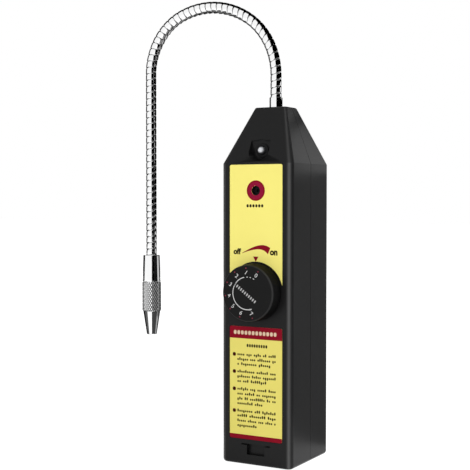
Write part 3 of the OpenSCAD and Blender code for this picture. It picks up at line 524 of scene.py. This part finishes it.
def lettering(name, text, weight):
    """Flat filled mesh of a short word or number, its strokes widened by weight."""
    curve = bpy.data.curves.new(name, "FONT")
    curve.body, curve.offset, curve.resolution_u = text, weight, 6
    made = bpy.data.objects.new(name, curve)
    bpy.context.scene.collection.objects.link(made)
    bpy.context.view_layer.update()
    drawn = made.evaluated_get(bpy.context.evaluated_depsgraph_get())
    mesh = bpy.data.meshes.new_from_object(drawn)
    bpy.data.objects.remove(made)
    return mesh


def ink_word(name, text, weight, place, front):
    """Word in ink: its flat outline, moved to X and Z by place, and given the ink's thickness."""
    mesh = lettering(name, text, weight)
    co = np.zeros(len(mesh.vertices) * 3)
    mesh.vertices.foreach_get("co", co)
    flat = place(co.reshape(-1, 3)[:, :2])
    mesh.vertices.foreach_set("co", (np.insert(flat, 1, front + INK_SINK, axis=1) * MM).ravel())
    work = bmesh.new()
    work.from_mesh(mesh)
    bmesh.ops.remove_doubles(work, verts=work.verts, dist=MEET / 2)
    raised = bmesh.ops.extrude_face_region(work, geom=work.faces[:])
    lifted = [v for v in raised["geom"] if isinstance(v, bmesh.types.BMVert)]
    bmesh.ops.translate(work, verts=lifted, vec=(0, -(INK_T + INK_SINK) * MM, 0))
    work.to_mesh(mesh)
    work.free()
    return closed_mesh(name, mesh, INK_SHARP)


def into_box(low, high):
    """Move that stretches an outline into a box of X and Z."""
    def move(flat):
        a, b = flat.min(0), flat.max(0)
        return np.array(low) + (flat - a) / (b - a) * (np.array(high) - np.array(low))
    return move


# Words beside the wedge: left and right in X, and foot and head from the label's top
WORDS = (("off", -15.95, -10.5, -56.4, -52.55), ("on", 10.0, 15.3, -56.5, -53.4))
WORD_WEIGHT = 0.05
for word, left, right, low, high in WORDS:
    place = into_box((left, upper_top + low), (right, upper_top + high))
    fit_out(ink_word("word_" + word, word, WORD_WEIGHT, place, film_front), dark_ink, "housing",
            "label")

HEADER_H, FOOTER_H, FILM_R = 63.7, 2.78, 1.2


def rounded_band(low, high, round_foot=False, round_head=False):
    """Grid of X and Z across the label: straight edges, with the film's corner radius at both
    ends of the foot or of the head."""
    quarter = np.cos(np.linspace(0, np.pi / 2, 9)) * FILM_R
    x = np.concatenate([-quarter - label_half + FILM_R, quarter[::-1] + label_half - FILM_R])
    out = np.maximum(np.abs(x) - label_half + FILM_R, 0)
    inset = FILM_R - np.sqrt(np.maximum(FILM_R ** 2 - out ** 2, 0))
    return between_curves(np.stack([x, low + inset * round_foot], 1),
                          np.stack([x, high - inset * round_head], 1))


header = rounded_band(lower_z + HEADER_H, lower_top, round_head=True)
fit_out(ink_field("header_band", header, film_front), red_ink, "housing", "label")
footer = rounded_band(lower_z, lower_z + FOOTER_H, round_foot=True)
fit_out(ink_field("footer_band", footer, film_front), red_ink, "housing", "label")

# Outline of a small mark, for half sizes of 1
PAD = np.array([(-1, -0.5), (-0.5, -1), (0.5, -1), (1, -0.5),
                (1, 0.5), (0.5, 1), (-0.5, 1), (-1, 0.5)])


def ink_marks(name, centres, sizes, front, tilt=0.0):
    """Many small marks in one mesh: each is an eight-sided pad with its own middle and half
    sizes, turned clockwise by tilt."""
    sides = len(PAD)
    c, s = np.cos(np.radians(tilt)), np.sin(np.radians(tilt))
    offset = PAD[None] * np.array(sizes, float)[:, None] @ np.array([(c, -s), (s, c)])
    flat = np.array(centres)[:, None] + offset
    both = np.stack([np.insert(flat, 1, front - INK_T, axis=2),
                     np.insert(flat, 1, front + INK_SINK, axis=2)], 1)
    first = np.arange(len(flat))[:, None] * 2 * sides
    k = np.arange(sides)
    walls = np.stack([k, (k + 1) % sides, (k + 1) % sides + sides, k + sides], 1)
    mesh = bpy.data.meshes.new(name)
    mesh.from_pydata((both.reshape(-1, 3) * MM).tolist(), [],
                     (first + k).tolist() + (first + k + sides).tolist()
                     + (first[:, None] + walls[None]).reshape(-1, 4).tolist())
    return closed_mesh(name, mesh, INK_SHARP)


def mark_row(left, right, height, count, half_high):
    """Evenly spaced marks along a level row: middles and half sizes. Each mark's half width is
    the same share of its step."""
    share, step = 0.37, (right - left) / count
    x = left + step * (np.arange(count) + 0.5)
    level, half_wide = np.full(count, height), np.full(count, step * share)
    return np.stack([x, level, half_wide, np.full(count, half_high)], 1)


# Rows of small marks: height above the label's foot, and how many marks stand in each group
ROWS = ((53.4, (4, 3, 4, 2, 4)), (50.35, (6, 3, 7, 2)), (47.3, (1, 8, 6)),
        (42.5, (9, 6, 3)), (39.45, (7, 5, 7)), (36.4, (2, 3, 8)),
        (31.5, (6, 3, 5, 4)), (28.4, (3, 5, 2, 7)), (25.3, (3, 2, 8, 2, 2)), (22.3, (8, 4)),
        (17.6, (8, 3, 7)), (14.5, (5, 8, 4)), (11.35, (5, 5, 3, 4, 1)), (8.3, (10,)))
ROW_X, ROW_W, ROW_MARKS, GROUP_GAP, FULL_ROW = -13.3, 27.6, 19.5, 0.9, 16
MARK_HALF, MARK_SHARE = 0.62, 0.36
# Some marks reach up or down past the others, by these lengths and in these shares
REACH, REACH_SHARE = (0.0, 0.32, -0.28), (0.62, 0.26, 0.12)
draw = np.random.default_rng(11)
marks = []
for row_h, groups in ROWS:
    count = sum(groups)
    full_width = count + (len(groups) - 1) * GROUP_GAP
    step = ROW_W / (full_width if count >= FULL_ROW else ROW_MARKS)
    starts = np.cumsum((0,) + groups[:-1]) + GROUP_GAP * np.arange(len(groups))
    x = np.concatenate([ROW_X + step * (start + 0.5 + np.arange(group))
                        for start, group in zip(starts, groups)])
    reach = draw.choice(REACH, len(x), p=REACH_SHARE)
    marks.append(np.stack([x, lower_z + row_h + reach, np.full(len(x), step * MARK_SHARE),
                           MARK_HALF + np.abs(reach)], 1))
marks.append(mark_row(left=-6.6, right=8.4, height=lower_z + 59.4, count=9, half_high=1.0))
marks.append(mark_row(left=-6.8, right=5.6, height=sound_z - 9.5, count=6, half_high=0.95))
marks = np.concatenate(marks)
fit_out(ink_marks("print_rows", marks[:, :2], marks[:, 2:], film_front), dark_ink, "housing",
        "label")

heading = mark_row(left=-16.0, right=15.0, height=lower_z + 67.4, count=12, half_high=1.25)
fit_out(ink_marks("print_heading", heading[:, :2], heading[:, 2:], film_front - INK_T), cream_ink,
        "housing", "label")

BULLET_X, BULLET_HALF, BULLET_ROWS = -15.35, 1.15, (53.4, 42.5, 31.5, 17.6)
bullets = np.array([(BULLET_X, lower_z + row_h) for row_h in BULLET_ROWS])
bullet_ink = printed("bullet_ink", (0.04, 0.006, 0.004), (0.06, 0.01, 0.006))
fit_out(ink_marks("print_bullets", bullets, np.full(bullets.shape, BULLET_HALF), film_front),
        bullet_ink, "housing", "label")


# Sensitivity knob: a black moulded cap with a bevelled face, pressed on the flatted shaft. Its
# dial is printed in white and red: numbers, a dot for each, a slanted row of marks, and an arc
# that ends in an arrow.

KNOB_BORE_R, KNOB_HUB_R, KNOB_HOLLOW_R, KNOB_BEVEL = 3.05, 5.0, 14.0, 0.5
KNOB_FACE_R, KNOB_R, KNOB_HOLLOW_H, KNOB_HUB_GAP, KNOB_FACE_T = 17.5, 18.2, 6.0, 3.2, 2.0
KNOB_ROUNDING = (0, 0.25, 0.25, 0.5, 0.4, 0.4, 0.4, 0.2, 0.2, 0.1, 0)
KNOB_RIM_HIGHLIGHT, KNOB_SIDE_SHADE = (0.028, 0.028, 0.028), (0.005, 0.005, 0.005)
RIM_START, RIM_FADE = 0.2, 0.1
knob_low, knob_high = box_mm("sensitivity_knob")
knob_z = (knob_low[2] + knob_high[2]) / 2
face, back = -knob_low[1] - INK_T, -knob_high[1]
bevel_r, hollow, hub_end = KNOB_FACE_R - KNOB_BEVEL, back + KNOB_HOLLOW_H, back + KNOB_HUB_GAP
bore_end = face - KNOB_FACE_T
knob_profile = filleted(
    [(0, face), (bevel_r, face), (KNOB_FACE_R, face - KNOB_BEVEL), (KNOB_R, back),
     (KNOB_HOLLOW_R, back), (KNOB_HOLLOW_R, hollow), (KNOB_HUB_R, hollow), (KNOB_HUB_R, hub_end),
     (KNOB_BORE_R, hub_end), (KNOB_BORE_R, bore_end), (0, bore_end)], KNOB_ROUNDING, closed=False)
knob_plastic = moulded_finish(
    "knob_plastic", (0.0112, 0.0112, 0.0113), (0.0132, 0.0132, 0.0133), rough=(0.46, 0.54),
    grain=0.16, cloud=18, depth=0.006, Specular_IOR_Level=0.03)

# Painted highlight makes the bevel paler, and painted shade keeps the side below it dark
tree = knob_plastic.node_tree
from_axis = off_axis(tree, 0, knob_z)
past_face = fade(tree, from_axis, bevel_r - RIM_START, bevel_r + RIM_FADE)
past_bevel = fade(tree, from_axis, KNOB_FACE_R, KNOB_FACE_R + RIM_FADE)
overlay(knob_plastic, past_bevel, KNOB_SIDE_SHADE)
overlay(knob_plastic, arithmetic(tree, "SUBTRACT", past_face, past_bevel), KNOB_RIM_HIGHLIGHT)
fit_out(surface("knob_cap", turned(knob_profile, (0, 0, knob_z), "Y", 128), True),
        knob_plastic, "knob", "knob_plastic", "sensitivity_knob")

# Angles of the dial are clockwise from the top, in degrees
DIAL = {"0": 29.0, "1": -3.2, "2": -34.5, "3": -66.0, "4": -97.5, "5": -129.5, "6": -160.5,
        "7": -193.5}
NUMBER_R, NUMBER_H, NUMBER_TILT, NUMBER_WEIGHT, DOT_R, DOT = 12.9, 2.6, 35.0, 0.0, 15.6, 0.4
ARC_R, ARC_W, ARC_SPAN = 10.1, 0.46, (-12.0, -194.0)
DASHES, DASH_SPAN, DASH_STEPS = (0.0, 12.5, 26.0), 4.6, 5
ARROW_SPAN, ARROW_W, ARROW_TIP, ARROW_STEPS = (-190.0, -201.0), 1.1, 0.03, 7
SLANT_MIDDLE, SLANT_HALF, SLANT, SLANT_MARKS, SLANT_MARK = (-1.5, 0.2), 8.6, 36.5, 11, (0.42, 1.0)
face_y = -face
knob_middle = np.array([0, knob_z])


def on_dial(angle, radius):
    """Point of the dial at an angle clockwise from the top."""
    turn = np.radians(angle)
    return knob_middle + radius * np.array([np.sin(turn), np.cos(turn)])


def tilted(centre, height, tilt):
    """Move that scales an outline to a height, turns it clockwise and sets its middle at a
    point."""
    c, s = np.cos(np.radians(tilt)), np.sin(np.radians(tilt))

    def move(flat):
        a, b = flat.min(0), flat.max(0)
        return centre + (flat - (a + b) / 2) * height / (b - a)[1] @ np.array([(c, -s), (s, c)])
    return move


for number, angle in DIAL.items():
    place = tilted(on_dial(angle, NUMBER_R), NUMBER_H, NUMBER_TILT)
    fit_out(ink_word("dial_" + number, number, NUMBER_WEIGHT, place, face_y), white_ink, "knob",
            "knob_plastic")

dots = np.array([on_dial(angle, DOT_R) for angle in DIAL.values()])
dot_ink = printed("dot_ink", (0.2, 0.03, 0.05), (0.26, 0.045, 0.07))
fit_out(ink_marks("dial_dots", dots, np.full(dots.shape, DOT), face_y), dot_ink, "knob",
        "knob_plastic")

slant = np.radians(SLANT)
along = np.linspace(-SLANT_HALF, SLANT_HALF, SLANT_MARKS)[:, None]
slanted = knob_middle + np.array(SLANT_MIDDLE) + along * np.array([np.cos(slant), -np.sin(slant)])
grey_ink = printed("grey_ink", (0.42, 0.42, 0.42), (0.5, 0.5, 0.5))
fit_out(ink_marks("dial_word", slanted, np.tile(SLANT_MARK, (SLANT_MARKS, 1)), face_y, SLANT),
        grey_ink, "knob", "knob_plastic")

arc_radii = (ARC_R - ARC_W / 2, ARC_R + ARC_W / 2)
arc = ring_field(knob_middle, *arc_radii, *ARC_SPAN)
fit_out(ink_field("dial_arc", arc, face_y), white_ink, "knob", "knob_plastic")
for count, angle in enumerate(DASHES):
    dash = ring_field(knob_middle, *arc_radii, angle - DASH_SPAN / 2, angle + DASH_SPAN / 2,
                      DASH_STEPS)
    fit_out(ink_field("dial_dash_%d" % count, dash, face_y), white_ink, "knob", "knob_plastic")
arrow = ring_field(knob_middle, ARC_R - ARROW_W / 2, ARC_R + ARROW_W / 2, *ARROW_SPAN, ARROW_STEPS)
spine = arrow.mean(1, keepdims=True)
arrow = spine + (arrow - spine) * np.linspace(1, ARROW_TIP, ARROW_STEPS)[:, None, None]
fit_out(ink_field("dial_arrow", arrow, face_y), white_ink, "knob", "knob_plastic")


# Gooseneck: a chromed steel strip wound right-handed into a stay-put hose, seated in a turned
# collar that a nut holds to the top plate. The sensor lead runs through its bore.

NECK_R, NECK_BORE_R, BAND_PITCH, NECK_RISE, NECK_STEPS = 3.649, 2.4, 4.3, 20.0, 57
EDGE_W, EDGE_TILT, GAP_W, GAP_DEPTH, GAP_EDGE = 0.8, 62.0, 0.07, 0.56, 8
FLARE, FLARE_RISE, FLARE_END, FLARE_ROUND = 0.8, 2.2, 0.5, 1.5
# Radius and angle of each bend of the arch
ARCH = ((46.0, 54.0), (55.0, 57.0), (40.1, 69.0))
COLLAR_R, COLLAR_H, COLLAR_FLOOR, SHANK_R, SHANK_BORE_R, SOCKET_R = 4.3, 6.6, 1.0, 3.2, 1.9, 3.7
COLLAR_ROUNDING = (0.15, 0.25, 0.1, 0.05, 0.2, 0.1, 0.05, 0.05)
collar_low, collar_high = box_mm("neck_collar")
shank_end, collar_top = collar_low[2], collar_high[2]
top_z = collar_top - COLLAR_H
neck_low_z, neck_end_z = top_z + COLLAR_FLOOR, box_mm("gooseneck")[0][2]
arch_z = neck_low_z + NECK_RISE

CHROME_TONES = ((0.9, 0.903, 0.906), (0.96, 0.963, 0.966))
chrome = metal_finish("chrome_plate", *CHROME_TONES, rough=(0.05, 0.1), streak=0.5, depth=0.0006)


def gapped_chrome(name, shadow):
    """Chrome whose grooves the piece's own mask darkens and dulls: painted shade, and the dirt that
    gathers there.
    """
    gloss, dull = 0.07, 0.35
    made, tree, shader = new_finish(name)
    group = use_group(tree, metal_streaks, Streak_mm=0.5, Stretch=0.2)
    mask = put(tree, "Attribute", {"attribute_name": "gap"}).outputs["Fac"]
    bright = blend_colours(tree, group.outputs["Streak"], *CHROME_TONES)
    tree.links.new(blend_colours(tree, mask, bright, shadow), shader.inputs["Base Color"])
    tree.links.new(between(tree, mask, gloss, dull), shader.inputs["Roughness"])
    shader.inputs["Metallic"].default_value = 1.0
    return made


def neck_line(s):
    """Middle line of the neck at lengths s: a straight rise, three bends that follow on, and a
    straight drop. Returns X and Z, the angle that the outward side has turned from +X, and the
    whole length."""
    x, z, turned_by = np.zeros_like(s), neck_low_z + s, np.zeros_like(s)
    length, angle, centre, last_r = NECK_RISE, 0.0, np.array([0.0, arch_z]), 0.0
    for radius, sweep in ARCH:
        outward = np.array([np.cos(np.radians(angle)), np.sin(np.radians(angle))])
        centre = centre + (last_r - radius) * outward
        a = np.radians(angle) + (s - length) / radius
        here = s >= length
        x = np.where(here, centre[0] + radius * np.cos(a), x)
        z = np.where(here, centre[1] + radius * np.sin(a), z)
        turned_by = np.where(here, a, turned_by)
        length, angle, last_r = length + radius * np.radians(sweep), angle + sweep, radius
    here = s >= length
    x = np.where(here, centre[0] - last_r, x)
    z = np.where(here, centre[1] - (s - length), z)
    return x, z, np.where(here, np.pi, turned_by), length + centre[1] - neck_end_z


neck_length = neck_line(np.zeros(1))[3]
# Across one band from gap to gap: each edge rolls over on an arc and ends in the narrow gap
near_gap = np.array([0.0, GAP_W, 0.1, 0.16, 0.24, 0.34, 0.48, 0.64, EDGE_W])
edge_r = EDGE_W / math.sin(math.radians(EDGE_TILT))
edge_drop = edge_r - np.sqrt(edge_r ** 2 - (EDGE_W - near_gap) ** 2)
edge_drop[0] = edge_drop[1] = GAP_DEPTH
one_band = np.concatenate([near_gap, [BAND_PITCH / 2], BAND_PITCH - near_gap[:0:-1]]) / BAND_PITCH
one_drop = np.concatenate([edge_drop, [0.0], edge_drop[:0:-1]])
# The bands follow each other down the outside, and the plain bore leads back inside them
turns = np.arange(-1, int(np.ceil(neck_length / BAND_PITCH)) + 1)
share = np.concatenate([(turns[:, None] + one_band[None]).ravel(), turns[::-1]])
drop = np.concatenate([np.tile(one_drop, len(turns)), np.full(len(turns), NECK_R - NECK_BORE_R)])
lean = np.concatenate([np.tile(one_band, len(turns)), np.zeros(len(turns))])
around = np.linspace(0, 2 * np.pi, NECK_STEPS)[None, :]
s = (share[:, None] + around / (2 * np.pi)) * BAND_PITCH
past_end = (s <= 0) | (s >= neck_length)
outside = (np.arange(len(share)) < len(one_band) * len(turns))[:, None]
drop = np.where(past_end & outside, GAP_DEPTH, drop[:, None])
x, z, tilt, _ = neck_line(np.clip(s, 0, neck_length))
# Inside the bend each band rides up on the next one
bend_in = np.clip(tilt / np.pi * FLARE_RISE, 0, 1) * np.clip((np.pi - tilt) / FLARE_END, 0, 1)
inner_side = np.clip(-np.cos(around), 0, 1) ** FLARE_ROUND
radius = NECK_R - drop + FLARE * bend_in * inner_side * lean[:, None]
outward = radius * np.cos(around)
skin = np.stack([x + outward * np.cos(tilt), radius * np.sin(around), z + outward * np.sin(tilt)],
                -1)
fit_out(surface("wound_gooseneck", skin, True, gap=np.clip(drop / GAP_DEPTH, 0, 1) ** GAP_EDGE),
        gapped_chrome("wound_chrome", (0.03, 0.03, 0.03)), "housing", "chrome", "gooseneck")

collar_profile = filleted(
    [(SOCKET_R, collar_top), (COLLAR_R, collar_top), (COLLAR_R, top_z), (SHANK_R, top_z),
     (SHANK_R, shank_end), (SHANK_BORE_R, shank_end), (SHANK_BORE_R, neck_low_z),
     (SOCKET_R, neck_low_z)], COLLAR_ROUNDING)
fit_out(surface("turned_collar", turned(collar_profile, (0, 0, 0), "Z", 64), True, True),
        chrome, "housing", "chrome", "neck_collar")
dress("sensor_lead", moulded_finish(
    "lead_sleeve", (0.4, 0.015, 0.015), (0.55, 0.03, 0.025), rough=(0.4, 0.5),
    grain=0.3, cloud=8, depth=0.006))


# Probe tip: a turned and chromed sleeve crimped on the neck, with a threaded spigot, a ceramic
# insulator and a brass electrode. The knurled cover with its open cone screws over them.

SLEEVE_TOP_R, SLEEVE_LOW_R, SPIGOT_R, SPIGOT_LEN = 5.75, 6.35, 4.4, 9.0
INSULATOR_R, INSULATOR_IN, LEAD_R, SOCKET_DEPTH = 3.05, 3.0, 1.35, 8.0
SLEEVE_ROUNDING = (0.3, 0.3, 0.2, 0.1, 0.4, 0.1, 0.05, 0.05, 0.05, 0.05)
sleeve_low, sleeve_high = box_mm("tip_sleeve")
tip_x = (sleeve_low[0] + sleeve_high[0]) / 2
sleeve_top, spigot_end = sleeve_high[2], sleeve_low[2]
shoulder = spigot_end + SPIGOT_LEN
insulator_top, socket_floor = shoulder + INSULATOR_IN, sleeve_top - SOCKET_DEPTH
sleeve_profile = filleted(
    [(SOCKET_R, sleeve_top), (SLEEVE_TOP_R, sleeve_top), (SLEEVE_LOW_R, shoulder),
     (SPIGOT_R, shoulder), (SPIGOT_R, spigot_end), (INSULATOR_R, spigot_end),
     (INSULATOR_R, insulator_top), (LEAD_R, insulator_top), (LEAD_R, socket_floor),
     (SOCKET_R, socket_floor)], SLEEVE_ROUNDING)
fit_out(surface("turned_sleeve", turned(sleeve_profile, (tip_x, 0, 0), "Z", 96), True, True),
        chrome, "housing", "chrome", "tip_sleeve")
dress("sensor_insulator", moulded_finish(
    "ceramic", (0.72, 0.69, 0.6), (0.82, 0.79, 0.7), rough=(0.3, 0.4),
    grain=0.3, cloud=5, depth=0.003))

KNURL_R, KNURL_LEN, KNURL_BEVEL, KNURL_DEPTH, KNURL_GROOVE = 6.494, 20.4, 0.6, 0.28, 0.17
KNURL_COUNT, KNURL_PITCH, KNURL_STEPS, KNURL_ROWS = 25, 2.75, 10, 108
CONE_END_R, CONE_ROWS, CONE_START, CONE_STOP = 3.4, 12, (0.04, 0.25), (0.06, 0.3)
MOUTH_R, MOUTH_LIP, MOUTH_EASE, THROAT_LEN = 2.4, 0.12, 0.15, 8.0
CHAMBER_R, COVER_BORE_R, COVER_BORE_LEN = 3.7, 4.48, 9.0
cover_low, cover_high = box_mm("tip_cover")
grip_top, mouth = cover_high[2], cover_low[2]
grip_low, bore_floor = grip_top - KNURL_LEN, grip_top - COVER_BORE_LEN
bevel_r = KNURL_R - KNURL_BEVEL
above_grip = np.array([(COVER_BORE_R, grip_top), (bevel_r, grip_top)])
grip = np.linspace((KNURL_R, grip_top - KNURL_BEVEL), (KNURL_R, grip_low + KNURL_BEVEL), KNURL_ROWS)
cone = np.linspace((bevel_r - CONE_START[0], grip_low - CONE_START[1]),
                   (CONE_END_R + CONE_STOP[0], mouth + CONE_STOP[1]), CONE_ROWS)
below_grip = np.concatenate([
    [(bevel_r, grip_low)], cone,
    [(CONE_END_R - MOUTH_LIP, mouth), (MOUTH_R + MOUTH_LIP, mouth), (MOUTH_R, mouth + MOUTH_EASE),
     (MOUTH_R, mouth + THROAT_LEN), (CHAMBER_R, grip_low), (CHAMBER_R, bore_floor),
     (COVER_BORE_R, bore_floor)]])
cover_r, cover_z = np.concatenate([above_grip, grip, below_grip]).T[:, None]
on_grip = np.repeat((0, 1, 0), (len(above_grip), len(grip), len(below_grip)))
around = np.linspace(0, 2 * np.pi, KNURL_COUNT * KNURL_STEPS, endpoint=False)[:, None]
left = (KNURL_COUNT * around / (2 * np.pi) + cover_z / KNURL_PITCH) % 1
right = (KNURL_COUNT * around / (2 * np.pi) - cover_z / KNURL_PITCH) % 1
# Crossed grooves leave diamonds: each point stands as high as its nearer groove is far, up to a
# flat top
to_groove = np.minimum(np.minimum(left, 1 - left), np.minimum(right, 1 - right))
cut = on_grip * (1 - np.minimum(to_groove / KNURL_GROOVE, 1))
r = cover_r - KNURL_DEPTH * cut
cover = np.stack([tip_x + r * np.cos(around), r * np.sin(around),
                  np.broadcast_to(cover_z, r.shape)], -1)
fit_out(surface("knurled_cover", cover, True, True, sharp=5, gap=np.clip(2 * cut, 0, 1)),
        gapped_chrome("knurled_chrome", (0.015, 0.015, 0.015)), "tip", "chrome", "tip_cover")


# Studio: a pale floor and a white surround that metal and camera see as white, a broad soft light
# at the front, a soft key at the right and a fill at the rear. Cards out of sight draw the dark
# sides of chrome and plastic.

PHOTO_SIDE, FOCAL_PX, SENSOR = 470, 1061.2, 36.0
CAMERA_AT, CAMERA_AZIMUTH, CAMERA_DIP = (0.316671, -0.608397, 0.167707), 29.70, 1.938
MIDDLE = np.array([-0.067, 0.0, 0.15])
WHITE, SURROUND_LIGHT, SURROUND_SEEN = (1, 1, 1, 1), 0.3, 1.0
FLOOR_TONE, FLOOR_GLOW, GLOW_SHARE = (0.82, 0.82, 0.82, 1), 1.24, 0.8
FLOOR_REACH, FLOOR_Z, FLOOR_CARD_Z = 6000, -0.05, -0.03


def mixed_shaders(tree, share, first, second):
    """Shader between two shaders by a share from 0 to 1."""
    mix = put(tree, "MixShader", Fac=share)
    tree.links.new(first, mix.inputs[1])
    tree.links.new(second, mix.inputs[2])
    return mix.outputs[0]


def seen_white(tree, plain, white):
    """White for the camera, metal and glass, and the plain shader for every other ray."""
    rays = put(tree, "LightPath").outputs
    sharp_rays = arithmetic(tree, "MAXIMUM", rays["Is Glossy Ray"], rays["Is Transmission Ray"])
    seen = arithmetic(tree, "MAXIMUM", rays["Is Camera Ray"], sharp_rays)
    return mixed_shaders(tree, seen, plain, white)


def bare_tree(owner):
    """Empty node tree of a world or a material."""
    owner.use_nodes = True
    owner.node_tree.nodes.clear()
    return owner.node_tree


world = bpy.data.worlds.new("white_surround")
bpy.context.scene.world = world
tree = bare_tree(world)
soft = put(tree, "Background", Color=WHITE, Strength=SURROUND_LIGHT).outputs[0]
bright = put(tree, "Background", Color=WHITE, Strength=SURROUND_SEEN).outputs[0]
put(tree, "OutputWorld", Surface=seen_white(tree, soft, bright))

floor_finish = bpy.data.materials.new("pale_floor")
tree = bare_tree(floor_finish)
matt = put(tree, "BsdfDiffuse", Color=FLOOR_TONE).outputs[0]
glow = put(tree, "Emission", Color=WHITE, Strength=FLOOR_GLOW).outputs[0]
part_lit = mixed_shaders(tree, GLOW_SHARE, matt, glow)
put(tree, "OutputMaterial", Surface=seen_white(tree, matt, part_lit))
reach = np.linspace(-FLOOR_REACH, FLOOR_REACH, 3)
level = np.meshgrid(reach, reach, indexing="ij")
floor = surface("floor", np.stack([*level, np.full((3, 3), FLOOR_Z)], -1))
floor.data.materials.append(floor_finish)


def toward(turn_right, lift, distance):
    """Point round the object: degrees to the camera's right, degrees above the horizon, and
    metres."""
    a, e = math.radians(CAMERA_AZIMUTH + turn_right), math.radians(lift)
    way = np.array([math.sin(a) * math.cos(e), -math.cos(a) * math.cos(e), math.sin(e)])
    return MIDDLE + distance * way


def soft_light(name, turn_right, lift, distance, width, height, power):
    """Rectangular soft light that faces the object and lights matt surfaces only. Its place is in
    degrees and metres, its size in metres and its power in watts."""
    lamp = bpy.data.lights.new(name, "AREA")
    lamp.shape, lamp.size, lamp.size_y, lamp.energy = "RECTANGLE", width, height, power
    made = bpy.data.objects.new(name, lamp)
    bpy.context.scene.collection.objects.link(made)
    made.location = toward(turn_right, lift, distance)
    made.rotation_euler = (math.radians(90 - lift), 0, math.radians(CAMERA_AZIMUTH + turn_right))
    made.visible_glossy = False


soft_light("front_softbox", -19, 14, distance=1.5, width=2.0, height=1.7, power=17.25)
soft_light("right_key", 95, 33, distance=1.6, width=0.7, height=0.7, power=34)
soft_light("rear_fill", 195, 24, distance=1.6, width=1.2, height=1.0, power=14)


def card(name, shade, grid):
    """Card of one even shade that only metal and gloss can see."""
    made = bpy.data.materials.new(name)
    tree = bare_tree(made)
    even = put(tree, "Emission", Color=(shade, shade, shade, 1)).outputs[0]
    put(tree, "OutputMaterial", Surface=even)
    piece = surface(name, grid)
    piece.data.materials.append(made)
    piece.visible_camera = piece.visible_diffuse = False
    piece.visible_shadow = piece.visible_transmission = False


def dome_patch(start, end, low, high, radius=1900.0, middle=MIDDLE / MM):
    """Part of a dome round a point: degrees right of the camera, and degrees above the
    horizon."""
    a = np.radians(CAMERA_AZIMUTH + np.linspace(start, end, 40))[:, None]
    e = np.radians(np.linspace(low, high, 24))[None, :]
    way = np.stack([np.sin(a) * np.cos(e), -np.cos(a) * np.cos(e), np.sin(e) + 0 * a], -1)
    return way * radius + middle


def level_fan(start, end, near, far, height, middle=MIDDLE / MM):
    """Level sector round a point: degrees right of the camera, and distances."""
    a = np.radians(CAMERA_AZIMUTH + np.linspace(start, end, 40))[:, None]
    r = np.array([near, far])[None, :]
    return np.stack([middle[0] + np.sin(a) * r, middle[1] - np.cos(a) * r, height + 0 * a * r], -1)


# Far flags: start and end right of the camera, low and high above the horizon
for name, *span in (("right_flag", 5, 100, -4, 50), ("rear_right_flag", 100, 152, -4, 88),
                    ("rear_flag", 152, 208, 18, 88), ("rear_left_flag", 208, 262, -4, 88)):
    card(name, 0.0, dome_patch(*span))

# Sectors of the floor: shade, start and end right of the camera, near and far
for name, shade, *span in (
        ("floor_right", 0.25, 5, 100, 200, 700), ("floor_far_right", 0.0, 5, 100, 700, 2000),
        ("floor_side", 0.08, 100, 152, 30, 2000), ("floor_rear", 0.02, 152, 208, 30, 700),
        ("floor_rear_left", 0.02, 208, 258, 30, 2000), ("floor_left", 0.12, 258, 296, 30, 450)):
    card(name, shade, level_fan(*span, FLOOR_CARD_Z))

# Close above the arch, where its outer side mirrors them
ARCH_FLAG_R, ARCH_MIDDLE = 110, np.array([-13.0, 0.0, 280.0])
card("arch_flag", 0.0, dome_patch(8, 100, 40, 82, ARCH_FLAG_R, ARCH_MIDDLE))
OVER_X, OVER_Y, OVER_Z = (-125.0, 20.0), (-15.0, 200.0), 345.0
level = np.meshgrid(OVER_X, OVER_Y, indexing="ij")
card("over_arch", 0.0, np.stack([*level, np.full((2, 2), OVER_Z)], -1))

# Near the tip, where only its sleeve and cone mirror them: start and end right of the camera
tip_middle = np.array([tip_x, 0.0, 120.0])
UNDER_NEAR, UNDER_FAR, UNDER_Z, BESIDE_R = 12, 62, 68.0, 250
for name, shade, start, end in (
        ("under_tip_front", 0.055, 5, 82), ("under_tip_side", 0.4, 82, 112),
        ("under_tip_rear", 0.02, 112, 150), ("under_tip_left", 0.02, 210, 262)):
    card(name, shade, level_fan(start, end, UNDER_NEAR, UNDER_FAR, UNDER_Z, tip_middle))
card("beside_tip", 0.62, dome_patch(83, 111, -14, 5, BESIDE_R, tip_middle))


def upright(x, y, z):
    """Upright card square to Y: its reach in X, its place in Y and its reach in Z."""
    across, up = np.meshgrid(x, z, indexing="ij")
    return np.stack([across, np.full(across.shape, y), up], -1)


# Behind the housing's right side, where the neck cannot see them: reach in X and in Z
FILL_Y = 45.0
for name, shade, across, up in (("side_fill", 0.25, (26.0, 70.0), (-0.02, 184.0)),
                                ("slope_fill_low", 1.05, (24.0, 66.0), (185.0, 231.0)),
                                ("slope_fill_high", 1.05, (24.0, 66.0), (238.5, 250.0))):
    card(name, shade, upright(across, FILL_Y, up))

camera_data = bpy.data.cameras.new("photo_camera")
camera_data.sensor_width = SENSOR
camera_data.lens = FOCAL_PX / PHOTO_SIDE * SENSOR
camera = bpy.data.objects.new("photo_camera", camera_data)
bpy.context.scene.collection.objects.link(camera)
camera.location = CAMERA_AT
camera.rotation_euler = (math.radians(90 - CAMERA_DIP), 0, math.radians(CAMERA_AZIMUTH))
bpy.context.scene.camera = camera
bpy.context.scene.view_settings.view_transform = "Standard"
